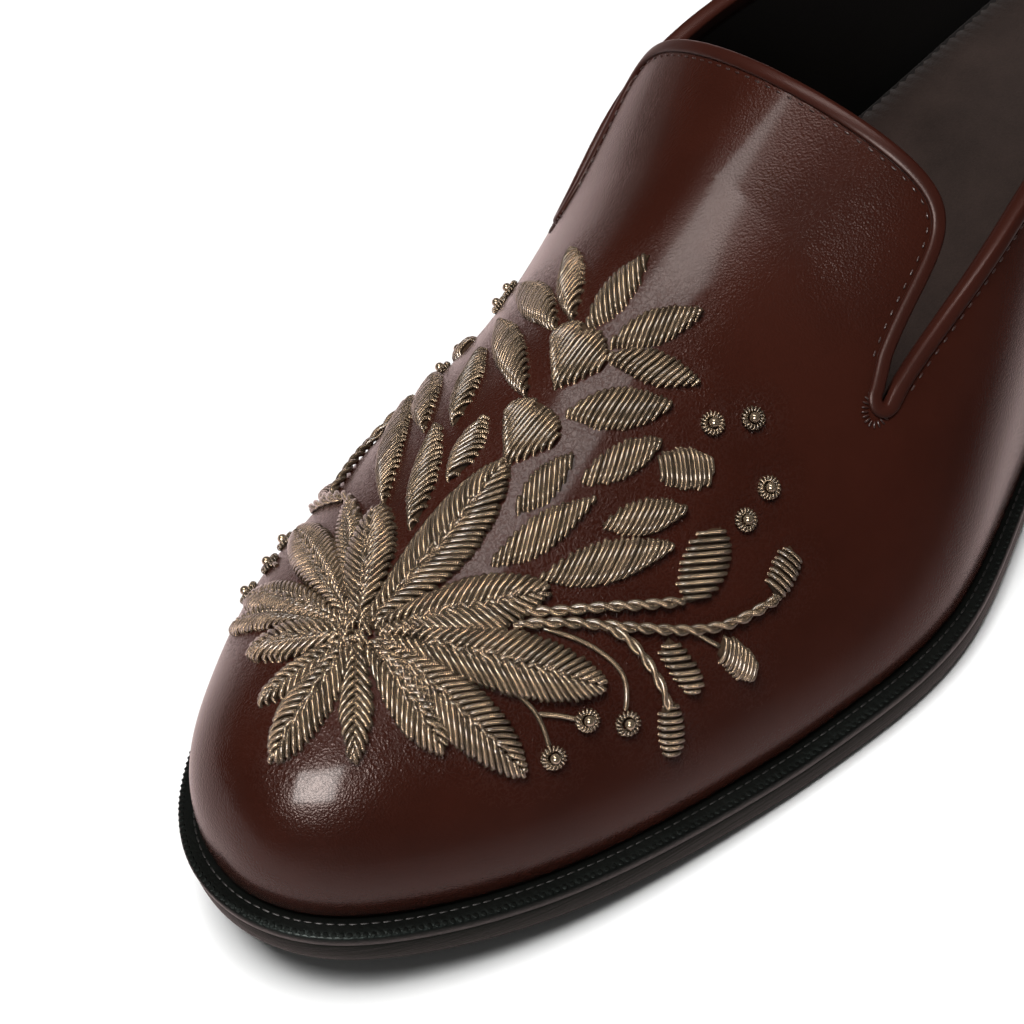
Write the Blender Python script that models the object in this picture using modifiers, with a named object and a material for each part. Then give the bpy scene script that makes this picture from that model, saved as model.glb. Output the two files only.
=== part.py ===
"""Embroidered slip-on loafer, right foot: the assembly of its upper, binding, insole, welt, sole and heel.

X runs from heel to toe, Y to the inner (medial) side of the foot and Z up from the floor.
Sizes are millimetres on the shoe, measured along from the back of the heel, until to_world.
"""
import functools
import math

import bmesh
import bpy
import numpy as np

MM = 0.001
MEDIAL = 1
LATERAL = -1
FIT_GAP = 0.3
FOOT_GAP = 0.45

LENGTH = 298.0
TOE_TIP_Y = 7.0
HEEL_BREAST = 82.0
BREAST_HOLLOW = 7.0

OUTSOLE_THICK = 5.0
WELT_THICK = 2.0
WELT_WIDTH = 9.0
SOLE_STEP = 0.5
INSOLE_THICK = 3.0
INSOLE_CLEARANCE = 1.0
TOP_PIECE_THICK = 6.0
HEEL_INSET = 0.3
HEEL_TAPER = 1.4
EDGE_ROUND = 0.6

WALL = 1.8
BINDING_WIDTH = 3.2
BINDING_THICK = 0.5
BINDING_GAP = 0.4
BINDING_ROLL = 0.75

SLIT_RADIUS = 1.2
SLIT_BLEND = 25.0
CORNER_POWER = 4.6
TINY = 1e-9

QUARTER_ROWS = 7
VAMP_ROWS = 7
VAMP_SECTIONS = 26
QUARTER_SECTIONS = 22
RIM_QUARTER = 34
RIM_SIDE = 8
RIM_TONGUE = 14
PLATE_COLUMNS = 5
HEEL_SECTIONS = 14
PLATE_STATIONS = np.linspace(0, 1, 41)


def table(names, rows):
    """A table of sizes as one array for each named column."""
    return dict(zip(names.split(), np.array(rows, float).T))


# Plan of the outsole: its edge on either side of the axis, at each length from the heel.
OUTLINE = table("along medial lateral", [
    (0, 0, 0),
    (12, 21, -22),
    (30, 29.5, -30.5),
    (60, 32, -34),
    (95, 29, -36.5),
    (130, 29, -39.5),
    (160, 36, -45.5),
    (190, 47, -49.5),
    (215, 47.5, -45.7),
    (240, 44, -40.8),
    (262, 39, -33.5),
    (280, 31.5, -21),
    (292, 22.5, -9.5),
    (LENGTH, TOE_TIP_Y, TOE_TIP_Y),
])

# Underside of the outsole above the floor, and the ledge from its edge in to the upper.
UNDERSIDE = table("along height ledge", [
    (0, 21.5, 1.0),
    (45, 20.6, 1.0),
    (85, 17.6, 1.2),
    (120, 10.6, 1.4),
    (155, 3.4, 1.8),
    (185, 0.3, 2.6),
    (210, -0.5, 3.0),
    (235, 0.7, 3.0),
    (262, 3.4, 3.1),
    (284, 6.9, 3.2),
    (LENGTH, 10.0, 3.2),
])

# Arch of the last over the foot: where its crest runs and how high it stands above the welt,
# the length of its upright side and of its level top as shares of that, and the side's bulge.
ARCH = table("along crest_y rise side top bulge", [
    (0, -1, 175, 0.50, 0.40, 4.0),
    (40, -2, 152, 0.50, 0.40, 3.0),
    (80, -3, 127, 0.52, 0.44, 2.0),
    (120, -3, 95, 0.59, 0.57, 2.6),
    (150, -2.6, 78.5, 0.67, 0.72, 3.0),
    (170, -1.5, 67.5, 0.57, 0.73, 3.0),
    (190, -1, 58, 0.34, 0.52, 3.0),
    (210, 0.5, 51, 0.22, 0.41, 3.0),
    (230, 4, 43.8, 0.29, 0.48, 2.6),
    (250, 7, 36.5, 0.32, 0.51, 2.0),
    (265, 8.5, 32, 0.39, 0.54, 1.6),
    (280, 8.3, 26, 0.46, 0.57, 1.3),
    (290, 7.7, 18.8, 0.52, 0.59, 1.1),
    (LENGTH, TOE_TIP_Y, 0, 0.58, 0.60, 0),
])

# Upper edge of the quarters above the floor, from the back of the heel to the slits.
TOPLINE = table("along medial lateral", [
    (0, 86, 86),
    (15, 84.2, 84.2),
    (40, 77.5, 77),
    (70, 71, 69.5),
    (100, 66.5, 64.5),
    (130, 63.5, 61),
    (157, 59.5, 57.5),
    (175, 53.5, 52),
    (193, 45.5, 45),
])

# The slits end at one length on both sides, where the tongue starts this share up the arch.
SLIT = 192.0
TONGUE_FOOT = 0.50
TONGUE_SIDE_END = 168.0
TONGUE_WAIST = 0.09
TONGUE_CREST_END = 175.0

# The arch's crest leans forward over the heel, so that its sections fan round the counter.
HEEL_FAN = 60.0
FAN_END = 130.0

COLOURS = {
    "upper": ((0.085, 0.022, 0.016), 0.35),
    "topline_binding": ((0.10, 0.025, 0.02), 0.35),
    "insole": ((0.026, 0.018, 0.016), 0.75),
    "welt": ((0.008, 0.008, 0.008), 0.3),
    "outsole": ((0.028, 0.03, 0.028), 0.5),
    "heel_stack": ((0.02, 0.018, 0.016), 0.4),
    "heel_top_piece": ((0.012, 0.012, 0.012), 0.7),
}


@functools.lru_cache(maxsize=None)
def spline_bends(knots, values):
    """Second derivatives at the knots of the smooth curve through them."""
    steps = np.diff(knots)
    slopes = np.diff(values) / steps
    system = np.eye(len(knots))
    bends = np.zeros(len(knots))
    for row in range(1, len(knots) - 1):
        system[row, row - 1:row + 2] = (steps[row - 1], 2 * (steps[row - 1] + steps[row]), steps[row])
        bends[row] = 6 * (slopes[row] - slopes[row - 1])
    return np.linalg.solve(system, bends)


def natural_spline(knots, values, at):
    """Value at each place of the smooth curve through a table's points."""
    bends = spline_bends(tuple(knots), tuple(values))
    steps = np.diff(knots)
    span = np.clip(np.searchsorted(knots, at) - 1, 0, len(steps) - 1)
    after = (at - knots[span]) / steps[span]
    before = 1 - after
    curved = (before**3 - before) * bends[span] + (after**3 - after) * bends[span + 1]
    return before * values[span] + after * values[span + 1] + curved * steps[span]**2 / 6


def station(along):
    """Station of a length along the shoe: 0 at the heel, 1 at the toe, closer set near both ends."""
    return np.arccos(np.clip(1 - 2 * np.asarray(along, float) / LENGTH, -1, 1)) / math.pi


def along_of(stations):
    return LENGTH / 2 * (1 - np.cos(math.pi * np.asarray(stations, float)))


def fold(stations):
    """Stations past either end count back along the other side of the shoe."""
    return 1 - np.abs(1 - np.abs(np.asarray(stations, float)))


def read(rows, column, stations):
    """A column of a table at each station. Both ends of a rounded outline come out round."""
    return natural_spline(station(rows["along"]), rows[column], fold(stations))


def side_name(side):
    return "medial" if side == MEDIAL else "lateral"


def outline(stations, side):
    """The outsole's edge in plan. Past the heel or the toe it goes on along the other side."""
    stations = np.asarray(stations, float)
    past_end = (stations < 0) | (stations > 1)
    here = read(OUTLINE, side_name(side), stations)
    there = read(OUTLINE, side_name(-side), stations)
    return along_of(fold(stations)), np.where(past_end, there, here)


def edge(stations, side, inset=0.0):
    """The outsole's edge moved inward by an inset: x, y and the inward direction there."""
    nudge = 1e-4
    after_x, after_y = outline(stations + nudge, side)
    before_x, before_y = outline(stations - nudge, side)
    reach = np.hypot(after_x - before_x, after_y - before_y)
    inward_x = side * (after_y - before_y) / reach
    inward_y = -side * (after_x - before_x) / reach
    x, y = outline(stations, side)
    return x + inward_x * inset, y + inward_y * inset, inward_x, inward_y


def underside(along):
    """Height of the outsole's underside, with the forefoot's tread flat on the floor."""
    return np.maximum(read(UNDERSIDE, "height", station(along)), 0.0)


def feather(along):
    """Height at which the upper meets the welt."""
    return underside(along) + OUTSOLE_THICK + FIT_GAP + WELT_THICK


def last(stations, share, side):
    """Point of the last: share runs from 0 at the welt to 1 at the crest of the arch."""
    stations = np.asarray(stations, float)
    share = np.asarray(share, float)
    foot_x, foot_y, inward_x, inward_y = edge(stations, side, read(UNDERSIDE, "ledge", stations))
    foot_z = feather(foot_x) + FOOT_GAP
    across_x = edge(stations, -side, read(UNDERSIDE, "ledge", stations))[0]
    fan = np.clip(1 - along_of(fold(stations)) / FAN_END, 0, 1) ** 2
    crest_x = (foot_x + across_x) / 2 + HEEL_FAN * fan
    crest_y = read(ARCH, "crest_y", stations)
    rise = read(ARCH, "rise", stations)
    bulge = read(ARCH, "bulge", stations)
    level = read(ARCH, "top", stations)
    crest_z = foot_z + rise
    side_x = foot_x - inward_x * bulge
    side_y = foot_y - inward_y * bulge
    side_z = foot_z + rise * read(ARCH, "side", stations)
    top_x = crest_x + (foot_x - crest_x) * level
    top_y = crest_y + (foot_y - crest_y) * level
    weights = ((1 - share) ** 3, 3 * share * (1 - share) ** 2, 3 * share**2 * (1 - share), share**3)
    corners = ((foot_x, side_x, top_x, crest_x), (foot_y, side_y, top_y, crest_y),
               (foot_z, side_z, crest_z, crest_z))
    return np.stack([sum(w * c for w, c in zip(weights, corner)) for corner in corners], axis=-1)


def outward(stations, share, side):
    """Unit normal of the last, pointing away from the foot."""
    nudge = 1e-3
    lengthwise = last(stations + nudge, share, side) - last(stations - nudge, share, side)
    upward = last(stations, share + nudge, side) - last(stations, share - nudge, side)
    normal = np.cross(upward, lengthwise) * side
    return normal / np.linalg.norm(normal, axis=-1, keepdims=True)


def share_at_height(stations, height, side):
    """How far up the arch each station reaches a height above the floor."""
    low = np.zeros_like(height)
    high = np.full_like(height, 0.95)
    for _ in range(40):
        middle = (low + high) / 2
        below = last(stations, middle, side)[..., 2] < height
        low = np.where(below, middle, low)
        high = np.where(below, high, middle)
    return (low + high) / 2


def arch_scale(stations, share, side):
    """Millimetres on the last for one unit of share."""
    nudge = 1e-3
    reach = last(stations, share + nudge, side) - last(stations, share - nudge, side)
    return np.linalg.norm(reach, axis=-1) / (2 * nudge)


def slit_half_gap(stations):
    """Half the width of the slit behind its round front end."""
    back = np.clip(SLIT - along_of(stations), 0, SLIT_RADIUS)
    return np.sqrt(SLIT_RADIUS**2 - (SLIT_RADIUS - back) ** 2)


def quarter_top(stations, side):
    """Share of the arch at a quarter's upper edge, which runs into the slit beside the tongue."""
    stations = np.asarray(stations, float)
    share = share_at_height(stations, read(TOPLINE, side_name(side), stations), side)
    slit = station([SLIT])
    at_slit = share_at_height(slit, read(TOPLINE, side_name(side), slit), side)
    nearness = np.clip(1 - (SLIT - along_of(stations)) / SLIT_BLEND, 0, 1) ** 2
    share = share + (TONGUE_FOOT - at_slit) * nearness
    return share - slit_half_gap(stations) / arch_scale(stations, share, side)


def tongue_place(across, back, side):
    """Station and share on the tongue: across is 0 at its crest and 1 at its side, back 0 to 1."""
    across = np.asarray(across, float)
    back = np.asarray(back, float)
    reach = (across**CORNER_POWER + back**CORNER_POWER) ** (1 / CORNER_POWER)
    rounding = np.maximum(np.maximum(across, back), TINY) / np.maximum(reach, TINY)
    across = across * rounding
    back = back * rounding
    end = TONGUE_CREST_END + (TONGUE_SIDE_END - TONGUE_CREST_END) * across**2
    waist = 1 - 4 * TONGUE_WAIST * back * (1 - back)
    stations = station(SLIT + (end - SLIT) * back)
    foot = TONGUE_FOOT * np.ones_like(stations)
    foot = foot + slit_half_gap(stations) / arch_scale(stations, foot, side)
    return stations, 1 - (1 - foot) * across * waist


def to_world(points):
    """Shoe millimetres to metres, with the origin below the middle of the outline."""
    plan = np.linspace(0, 1, 2001)
    middle_y = (read(OUTLINE, "medial", plan).max() + read(OUTLINE, "lateral", plan).min()) / 2
    return (np.asarray(points, float) - (LENGTH / 2, middle_y, 0)) * MM


def material_of(name):
    """A leather, suede or rubber of the named piece's own colour."""
    colour, roughness = COLOURS[name]
    material = bpy.data.materials.new(name)
    material.use_nodes = True
    shader = material.node_tree.nodes["Principled BSDF"]
    shader.inputs["Base Color"].default_value = (*colour, 1)
    shader.inputs["Roughness"].default_value = roughness
    shader.inputs["Metallic"].default_value = 0.0
    return material


def add_object(name, mesh, parts):
    body = bpy.data.objects.new(name, mesh)
    mesh.materials.append(material_of(name))
    mesh.shade_smooth()
    parts.objects.link(body)
    return body


def finish_mesh(name, builder, parts):
    """Closes up coincident corners, faces the surface outward and makes the object."""
    bmesh.ops.remove_doubles(builder, verts=builder.verts, dist=1e-6)
    bmesh.ops.dissolve_degenerate(builder, edges=builder.edges, dist=1e-7)
    bmesh.ops.recalc_face_normals(builder, faces=builder.faces)
    mesh = bpy.data.meshes.new(name)
    builder.to_mesh(mesh)
    builder.free()
    return add_object(name, mesh, parts)


def grid_faces(builder, points, closed=False, wrap=False):
    """Quads over rows and columns of points; closed joins the last column to the first, wrap the rows."""
    corners = [[builder.verts.new(point) for point in row] for row in to_world(points)]
    columns = len(corners[0])
    following = corners[1:] + (corners[:1] if wrap else [])
    for lower, upper in zip(corners, following):
        for start in range(columns if closed else columns - 1):
            after = (start + 1) % columns
            builder.faces.new((lower[start], lower[after], upper[after], upper[start]))


def round_edges(body, width, degrees=50):
    bevel = body.modifiers.new("round edges", "BEVEL")
    bevel.width = width * MM
    bevel.segments = 1
    bevel.limit_method = "ANGLE"
    bevel.angle_limit = math.radians(degrees)


# ---------------------------------------------------------------- upper

def vamp_grid():
    """Sections over the foot from the slits to the toe, each from welt to welt."""
    below, above = row_shares()
    shares = np.concatenate([below, above[1:]])
    first = float(station(SLIT))
    sections = []
    for place in first + (1 - first) * np.linspace(0, 1, VAMP_SECTIONS) ** 0.95:
        medial = last(place, shares, MEDIAL)
        lateral = last(place, shares[-2::-1], LATERAL)
        sections.append(np.concatenate([medial, lateral]))
    return np.array(sections)


def row_shares():
    """Shares of the arch for the rows below the slit's level and for those above it."""
    below = TONGUE_FOOT * np.linspace(0, 1, QUARTER_ROWS + 1) ** 1.2
    above = TONGUE_FOOT + (1 - TONGUE_FOOT) * np.linspace(0, 1, VAMP_ROWS + 1)
    return below, above


def quarter_grid(side):
    """Columns from the welt to the topline, from the slit round to the back of the heel."""
    below = row_shares()[0] / TONGUE_FOOT
    ahead = SLIT - np.array([0, 0.2, 0.7, SLIT_RADIUS, 4])
    first = float(station(ahead[-1]))
    stations = np.concatenate([station(ahead), first * np.linspace(1, 0, QUARTER_SECTIONS)[1:]])
    tops = quarter_top(stations, side)
    return np.array([last(place, top * below, side) for place, top in zip(stations, tops)])


def tongue_grid():
    """Rows across the tongue from the slits to its end."""
    above = (1 - row_shares()[1]) / (1 - TONGUE_FOOT)
    backs = np.array([0, 0.011, 0.037, 0.071, 0.2, 0.35, 0.5, 0.62, 0.73, 0.82, 0.89, 0.95, 1])
    rows = []
    for back in backs:
        medial = last(*tongue_place(above, back, MEDIAL), MEDIAL)
        lateral = last(*tongue_place(above[-2::-1], back, LATERAL), LATERAL)
        rows.append(np.concatenate([medial, lateral]))
    return np.array(rows)


def make_upper(parts):
    builder = bmesh.new()
    grid_faces(builder, vamp_grid())
    grid_faces(builder, tongue_grid())
    for side in (MEDIAL, LATERAL):
        grid_faces(builder, quarter_grid(side))
    body = finish_mesh("upper", builder, parts)
    shell = body.modifiers.new("leather", "SOLIDIFY")
    shell.thickness = WALL * MM
    shell.offset = -1
    shell.use_even_offset = True
    shell.use_quality_normals = True


# ---------------------------------------------------------------- binding

def rim_places():
    """Places (station, share, side) once round the opening's edge: topline, slit, tongue and back."""
    halves = []
    for side in (MEDIAL, LATERAL):
        quarter = float(station(SLIT - 4)) * np.linspace(0, 1, RIM_QUARTER)
        tops = quarter_top(quarter, side)
        turn = np.radians(np.arange(-75, 90, 25))
        slit = station(SLIT - SLIT_RADIUS * (1 - np.cos(turn)))
        scale = arch_scale(station(SLIT), TONGUE_FOOT, side)
        ends = TONGUE_FOOT + SLIT_RADIUS * np.sin(turn) / scale
        back = np.concatenate([np.linspace(0.2, 0.95, RIM_SIDE), np.ones(RIM_TONGUE)])
        across = np.concatenate([np.ones(RIM_SIDE), 1 - np.linspace(0, 1, RIM_TONGUE) ** 1.3])
        tongue, shares = tongue_place(across, back, side)
        stations = np.concatenate([quarter, slit, tongue])
        halves.append([(at, share, side) for at, share in zip(stations, np.concatenate([tops, ends, shares]))])
    medial, lateral = halves
    return medial + lateral[-2:0:-1]


def step_in(place, direction, distance):
    """The place on the last that lies a distance from another in a direction along its surface."""
    at, share, side = place
    for _ in range(3):
        nudge = 1e-3
        lengthwise = (last(at + nudge, share, side) - last(at - nudge, share, side)) / (2 * nudge)
        upward = (last(at, share + nudge, side) - last(at, share - nudge, side)) / (2 * nudge)
        move = np.linalg.lstsq(np.stack([lengthwise, upward], axis=1), direction * distance / 3, rcond=None)[0]
        at = at + move[0]
        share = share + move[1]
    return at, share, side


def make_binding(parts):
    """A folded strip over the wall's edge, from a profile of (distance in, height off the surface)."""
    outer = BINDING_GAP
    inner = -WALL - BINDING_GAP
    profile = [
        (BINDING_WIDTH, outer),
        (BINDING_WIDTH, outer + BINDING_THICK),
        (BINDING_WIDTH / 2, outer + BINDING_THICK),
        (0, outer + BINDING_THICK),
        (-BINDING_ROLL, outer),
        (-BINDING_ROLL, inner),
        (0, inner - BINDING_THICK),
        (BINDING_WIDTH, inner - BINDING_THICK),
        (BINDING_WIDTH, inner),
        (-BINDING_GAP, inner),
        (-BINDING_GAP, outer),
        (BINDING_WIDTH / 2, outer),
    ]
    places = rim_places()
    rim = np.array([last(*place) for place in places])
    tangents = np.roll(rim, -1, axis=0) - np.roll(rim, 1, axis=0)
    rings = []
    for place, point, tangent in zip(places, rim, tangents):
        normal = outward(*place)
        inward = np.cross(normal, tangent)
        inward /= np.linalg.norm(inward)
        ring = []
        for distance, height in profile:
            if distance > 0:
                there = step_in(place, inward, distance)
                ring.append(last(*there) + outward(*there) * height)
            else:
                ring.append(point + inward * distance + normal * height)
        rings.append(ring)
    builder = bmesh.new()
    grid_faces(builder, np.array(rings), closed=True, wrap=True)
    finish_mesh("topline_binding", builder, parts)


# ---------------------------------------------------------------- sole and heel

def plate_face(stations, inset, height, hollow):
    """Rows across the shoe inside the outsole's edge; hollow bends the last rows back."""
    across = np.linspace(0, 1, PLATE_COLUMNS)
    rows = []
    for place, reach in zip(stations, np.linspace(0, 1, len(stations))):
        bend = hollow * reach**2 * (1 - (2 * across - 1) ** 2)
        there = station(np.maximum(along_of(place) - bend, 0))
        medial_x, medial_y = edge(there, MEDIAL, inset(there))[:2]
        lateral_x, lateral_y = edge(there, LATERAL, inset(there))[:2]
        x = medial_x + (lateral_x - medial_x) * across
        y = medial_y + (lateral_y - medial_y) * across
        rows.append(np.stack([x, y, height(x)], axis=1))
    return np.array(rows)


def plate(name, stations, inset, bottom, top, parts, hollow=0.0, taper=0.0):
    """A plate between two heights, whose underside may be narrower by a taper."""
    low = plate_face(stations, lambda at: inset(at) + taper, bottom, hollow)
    high = plate_face(stations, inset, top, hollow)
    builder = bmesh.new()
    grid_faces(builder, low)
    grid_faces(builder, high)
    for column in (0, -1):
        grid_faces(builder, np.array([low[:, column], high[:, column]]))
    for row in (0, -1):
        grid_faces(builder, np.array([low[row], high[row]]))
    return finish_mesh(name, builder, parts)


def make_insole(parts):
    body = plate(
        "insole", PLATE_STATIONS,
        inset=lambda at: read(UNDERSIDE, "ledge", at) + WALL + INSOLE_CLEARANCE,
        bottom=lambda along: feather(along) + FIT_GAP,
        top=lambda along: feather(along) + FIT_GAP + INSOLE_THICK,
        parts=parts)
    round_edges(body, 0.5)


def make_welt(parts):
    """A flat ring that follows the outsole's edge at the feather."""
    rings = []
    for side, places in ((MEDIAL, PLATE_STATIONS), (LATERAL, PLATE_STATIONS[-2:0:-1])):
        for place in places:
            ring = []
            for inset, drop in ((0, 0), (WELT_WIDTH, 0), (WELT_WIDTH, WELT_THICK), (0, WELT_THICK)):
                x, y = edge(place, side, inset)[:2]
                ring.append((x, y, feather(x) - drop))
            rings.append(ring)
    builder = bmesh.new()
    grid_faces(builder, np.array(rings), closed=True, wrap=True)
    finish_mesh("welt", builder, parts)


def make_outsole(parts):
    body = plate(
        "outsole", PLATE_STATIONS,
        inset=lambda at: SOLE_STEP,
        bottom=underside,
        top=lambda along: underside(along) + OUTSOLE_THICK,
        parts=parts)
    round_edges(body, EDGE_ROUND)


def make_heel(parts):
    """The stacked heel below the heel seat, and the rubber piece that it stands on."""
    stations = np.linspace(0, float(station(HEEL_BREAST)), HEEL_SECTIONS)
    stack = plate(
        "heel_stack", stations,
        inset=lambda at: SOLE_STEP + HEEL_INSET,
        bottom=lambda along: TOP_PIECE_THICK + FIT_GAP + 0 * along,
        top=lambda along: underside(along) - FIT_GAP,
        parts=parts, hollow=BREAST_HOLLOW, taper=HEEL_TAPER)
    round_edges(stack, 0.4)
    piece = plate(
        "heel_top_piece", stations,
        inset=lambda at: SOLE_STEP + 2 * HEEL_INSET + HEEL_TAPER,
        bottom=lambda along: 0 * along,
        top=lambda along: TOP_PIECE_THICK + 0 * along,
        parts=parts, hollow=BREAST_HOLLOW)
    round_edges(piece, 0.6)


def clear_scene():
    for body in list(bpy.data.objects):
        bpy.data.objects.remove(body, do_unlink=True)


def main():
    clear_scene()
    parts = bpy.data.collections.new("loafer")
    bpy.context.scene.collection.children.link(parts)
    make_upper(parts)
    make_binding(parts)
    make_insole(parts)
    make_welt(parts)
    make_outsole(parts)
    make_heel(parts)


main()
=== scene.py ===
import math
import bmesh
import bpy
import numpy as np
from mathutils import Matrix, Vector
from mathutils.kdtree import KDTree


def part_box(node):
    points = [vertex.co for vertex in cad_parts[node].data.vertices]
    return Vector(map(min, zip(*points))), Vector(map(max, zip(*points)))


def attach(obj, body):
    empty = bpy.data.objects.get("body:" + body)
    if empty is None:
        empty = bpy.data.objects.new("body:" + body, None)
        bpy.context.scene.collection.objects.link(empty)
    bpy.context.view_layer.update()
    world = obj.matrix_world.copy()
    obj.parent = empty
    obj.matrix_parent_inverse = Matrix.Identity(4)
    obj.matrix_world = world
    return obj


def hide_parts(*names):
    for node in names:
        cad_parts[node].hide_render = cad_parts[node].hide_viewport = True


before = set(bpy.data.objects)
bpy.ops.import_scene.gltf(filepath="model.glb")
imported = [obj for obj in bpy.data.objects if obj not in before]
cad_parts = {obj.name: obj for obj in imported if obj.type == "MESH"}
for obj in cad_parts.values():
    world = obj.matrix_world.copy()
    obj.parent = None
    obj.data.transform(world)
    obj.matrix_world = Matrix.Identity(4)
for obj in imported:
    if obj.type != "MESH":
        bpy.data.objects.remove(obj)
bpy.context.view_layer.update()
print("frame loaded")

mm = 0.001
medial = 1
lateral = -1
bothSides = (medial, lateral)
rng = np.random.default_rng(11)


# the last, the foot form that every piece lies on, in shoe millimetres from the back of the heel:
# x runs to the toe, y to the inner side of the foot and z up from the floor

def table(names, rows):
    return dict(zip(names.split(), np.array(rows, float).T))


def unit(value):
    return np.clip(value, 0, 1)


def runOf(points):
    # the length run along a row of points, from 0 at the first
    return np.concatenate([[0], np.cumsum(np.linalg.norm(np.diff(points, axis=0), axis=1))])


shoe = {
    "length": 298.0,
    "outsoleThick": 5.0,
    "weltThick": 2.0,
    "fitGap": 0.3,
    "footGap": 0.45,
    "wall": 1.8,
    "slit": 192.0,            # where both side slits end
    "slitRadius": 1.2,
    "slitBlend": 25.0,
    "tongueFoot": 0.5,        # share up the arch where the tongue starts
    "tongueSideEnd": 168.0,
    "tongueCrestEnd": 175.0,
    "cornerPower": 4.6,
    "tongueWaist": 0.09,
    "heelFan": 60.0,
    "fanEnd": 130.0,
}

# edge of the outsole on either side of the axis
outlineRows = table("along medial lateral", [
    (0, 0, 0), (12, 21, -22), (30, 29.5, -30.5), (60, 32, -34), (95, 29, -36.5),
    (130, 29, -39.5), (160, 36, -45.5), (190, 47, -49.5), (215, 47.5, -45.7), (240, 44, -40.8),
    (262, 39, -33.5), (280, 31.5, -21), (292, 22.5, -9.5), (298, 7, 7),
])

# underside of the outsole above the floor, and the ledge from its edge in to the upper
undersideRows = table("along height ledge", [
    (0, 21.5, 1), (45, 20.6, 1), (85, 17.6, 1.2), (120, 10.6, 1.4), (155, 3.4, 1.8), (185, 0.3, 2.6),
    (210, -0.5, 3), (235, 0.7, 3), (262, 3.4, 3.1), (284, 6.9, 3.2), (298, 10, 3.2),
])

# the arch over the foot: crest, height, upright share, level share and bulge of the side
archRows = table("along crest rise side top bulge", [
    (0, -1, 175, 0.50, 0.40, 4), (40, -2, 152, 0.50, 0.40, 3), (80, -3, 127, 0.52, 0.44, 2),
    (120, -3, 95, 0.59, 0.57, 2.6), (150, -2.6, 78.5, 0.67, 0.72, 3), (170, -1.5, 67.5, 0.57, 0.73, 3),
    (190, -1, 58, 0.34, 0.52, 3), (210, 0.5, 51, 0.22, 0.41, 3), (230, 4, 43.8, 0.29, 0.48, 2.6),
    (250, 7, 36.5, 0.32, 0.51, 2), (265, 8.5, 32, 0.39, 0.54, 1.6), (280, 8.3, 26, 0.46, 0.57, 1.3),
    (290, 7.7, 18.8, 0.52, 0.59, 1.1), (298, 7, 0, 0.58, 0.60, 0),
])

# upper edge of the quarters above the floor
toplineRows = table("along medial lateral", [
    (0, 86, 86), (15, 84.2, 84.2), (40, 77.5, 77), (70, 71, 69.5), (100, 66.5, 64.5),
    (130, 63.5, 61), (157, 59.5, 57.5), (175, 53.5, 52), (193, 45.5, 45),
])

splineBends = {}


def naturalSpline(rows, column, knots, at):
    values = rows[column]
    steps = np.diff(knots)
    key = (id(rows), column)
    if key not in splineBends:
        slopes = np.diff(values) / steps
        system = np.eye(len(knots))
        right = np.zeros(len(knots))
        for row in range(1, len(knots) - 1):
            system[row, row - 1:row + 2] = (steps[row - 1], 2 * (steps[row - 1] + steps[row]), steps[row])
            right[row] = 6 * (slopes[row] - slopes[row - 1])
        splineBends[key] = np.linalg.solve(system, right)
    bends = splineBends[key]
    span = np.clip(np.searchsorted(knots, at) - 1, 0, len(steps) - 1)
    after = (at - knots[span]) / steps[span]
    before = 1 - after
    curved = (before**3 - before) * bends[span] + (after**3 - after) * bends[span + 1]
    return before * values[span] + after * values[span + 1] + curved * steps[span]**2 / 6


def stationAt(along):
    # 0 at the heel, 1 at the toe, closer set near both ends so that the ends come out round
    return np.arccos(np.clip(1 - 2 * np.asarray(along, float) / shoe["length"], -1, 1)) / math.pi


def alongAt(stations):
    return shoe["length"] / 2 * (1 - np.cos(math.pi * np.asarray(stations, float)))


def fold(stations):
    return 1 - np.abs(1 - np.abs(np.asarray(stations, float)))


def read(rows, column, stations):
    return naturalSpline(rows, column, stationAt(rows["along"]), fold(stations))


def sideName(side):
    return "medial" if side == medial else "lateral"


def outlineAt(stations, side):
    stations = np.asarray(stations, float)
    pastEnd = (stations < 0) | (stations > 1)
    here = read(outlineRows, sideName(side), stations)
    there = read(outlineRows, sideName(-side), stations)
    return alongAt(fold(stations)), np.where(pastEnd, there, here)


def edgeAt(stations, side, inset=0.0):
    nudge = 1e-4
    afterX, afterY = outlineAt(stations + nudge, side)
    beforeX, beforeY = outlineAt(stations - nudge, side)
    reach = np.hypot(afterX - beforeX, afterY - beforeY)
    inwardX = side * (afterY - beforeY) / reach
    inwardY = -side * (afterX - beforeX) / reach
    x, y = outlineAt(stations, side)
    return x + inwardX * inset, y + inwardY * inset, inwardX, inwardY


def undersideAt(along):
    return np.maximum(read(undersideRows, "height", stationAt(along)), 0.0)


def featherAt(along):
    return undersideAt(along) + shoe["outsoleThick"] + shoe["fitGap"] + shoe["weltThick"]


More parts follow.
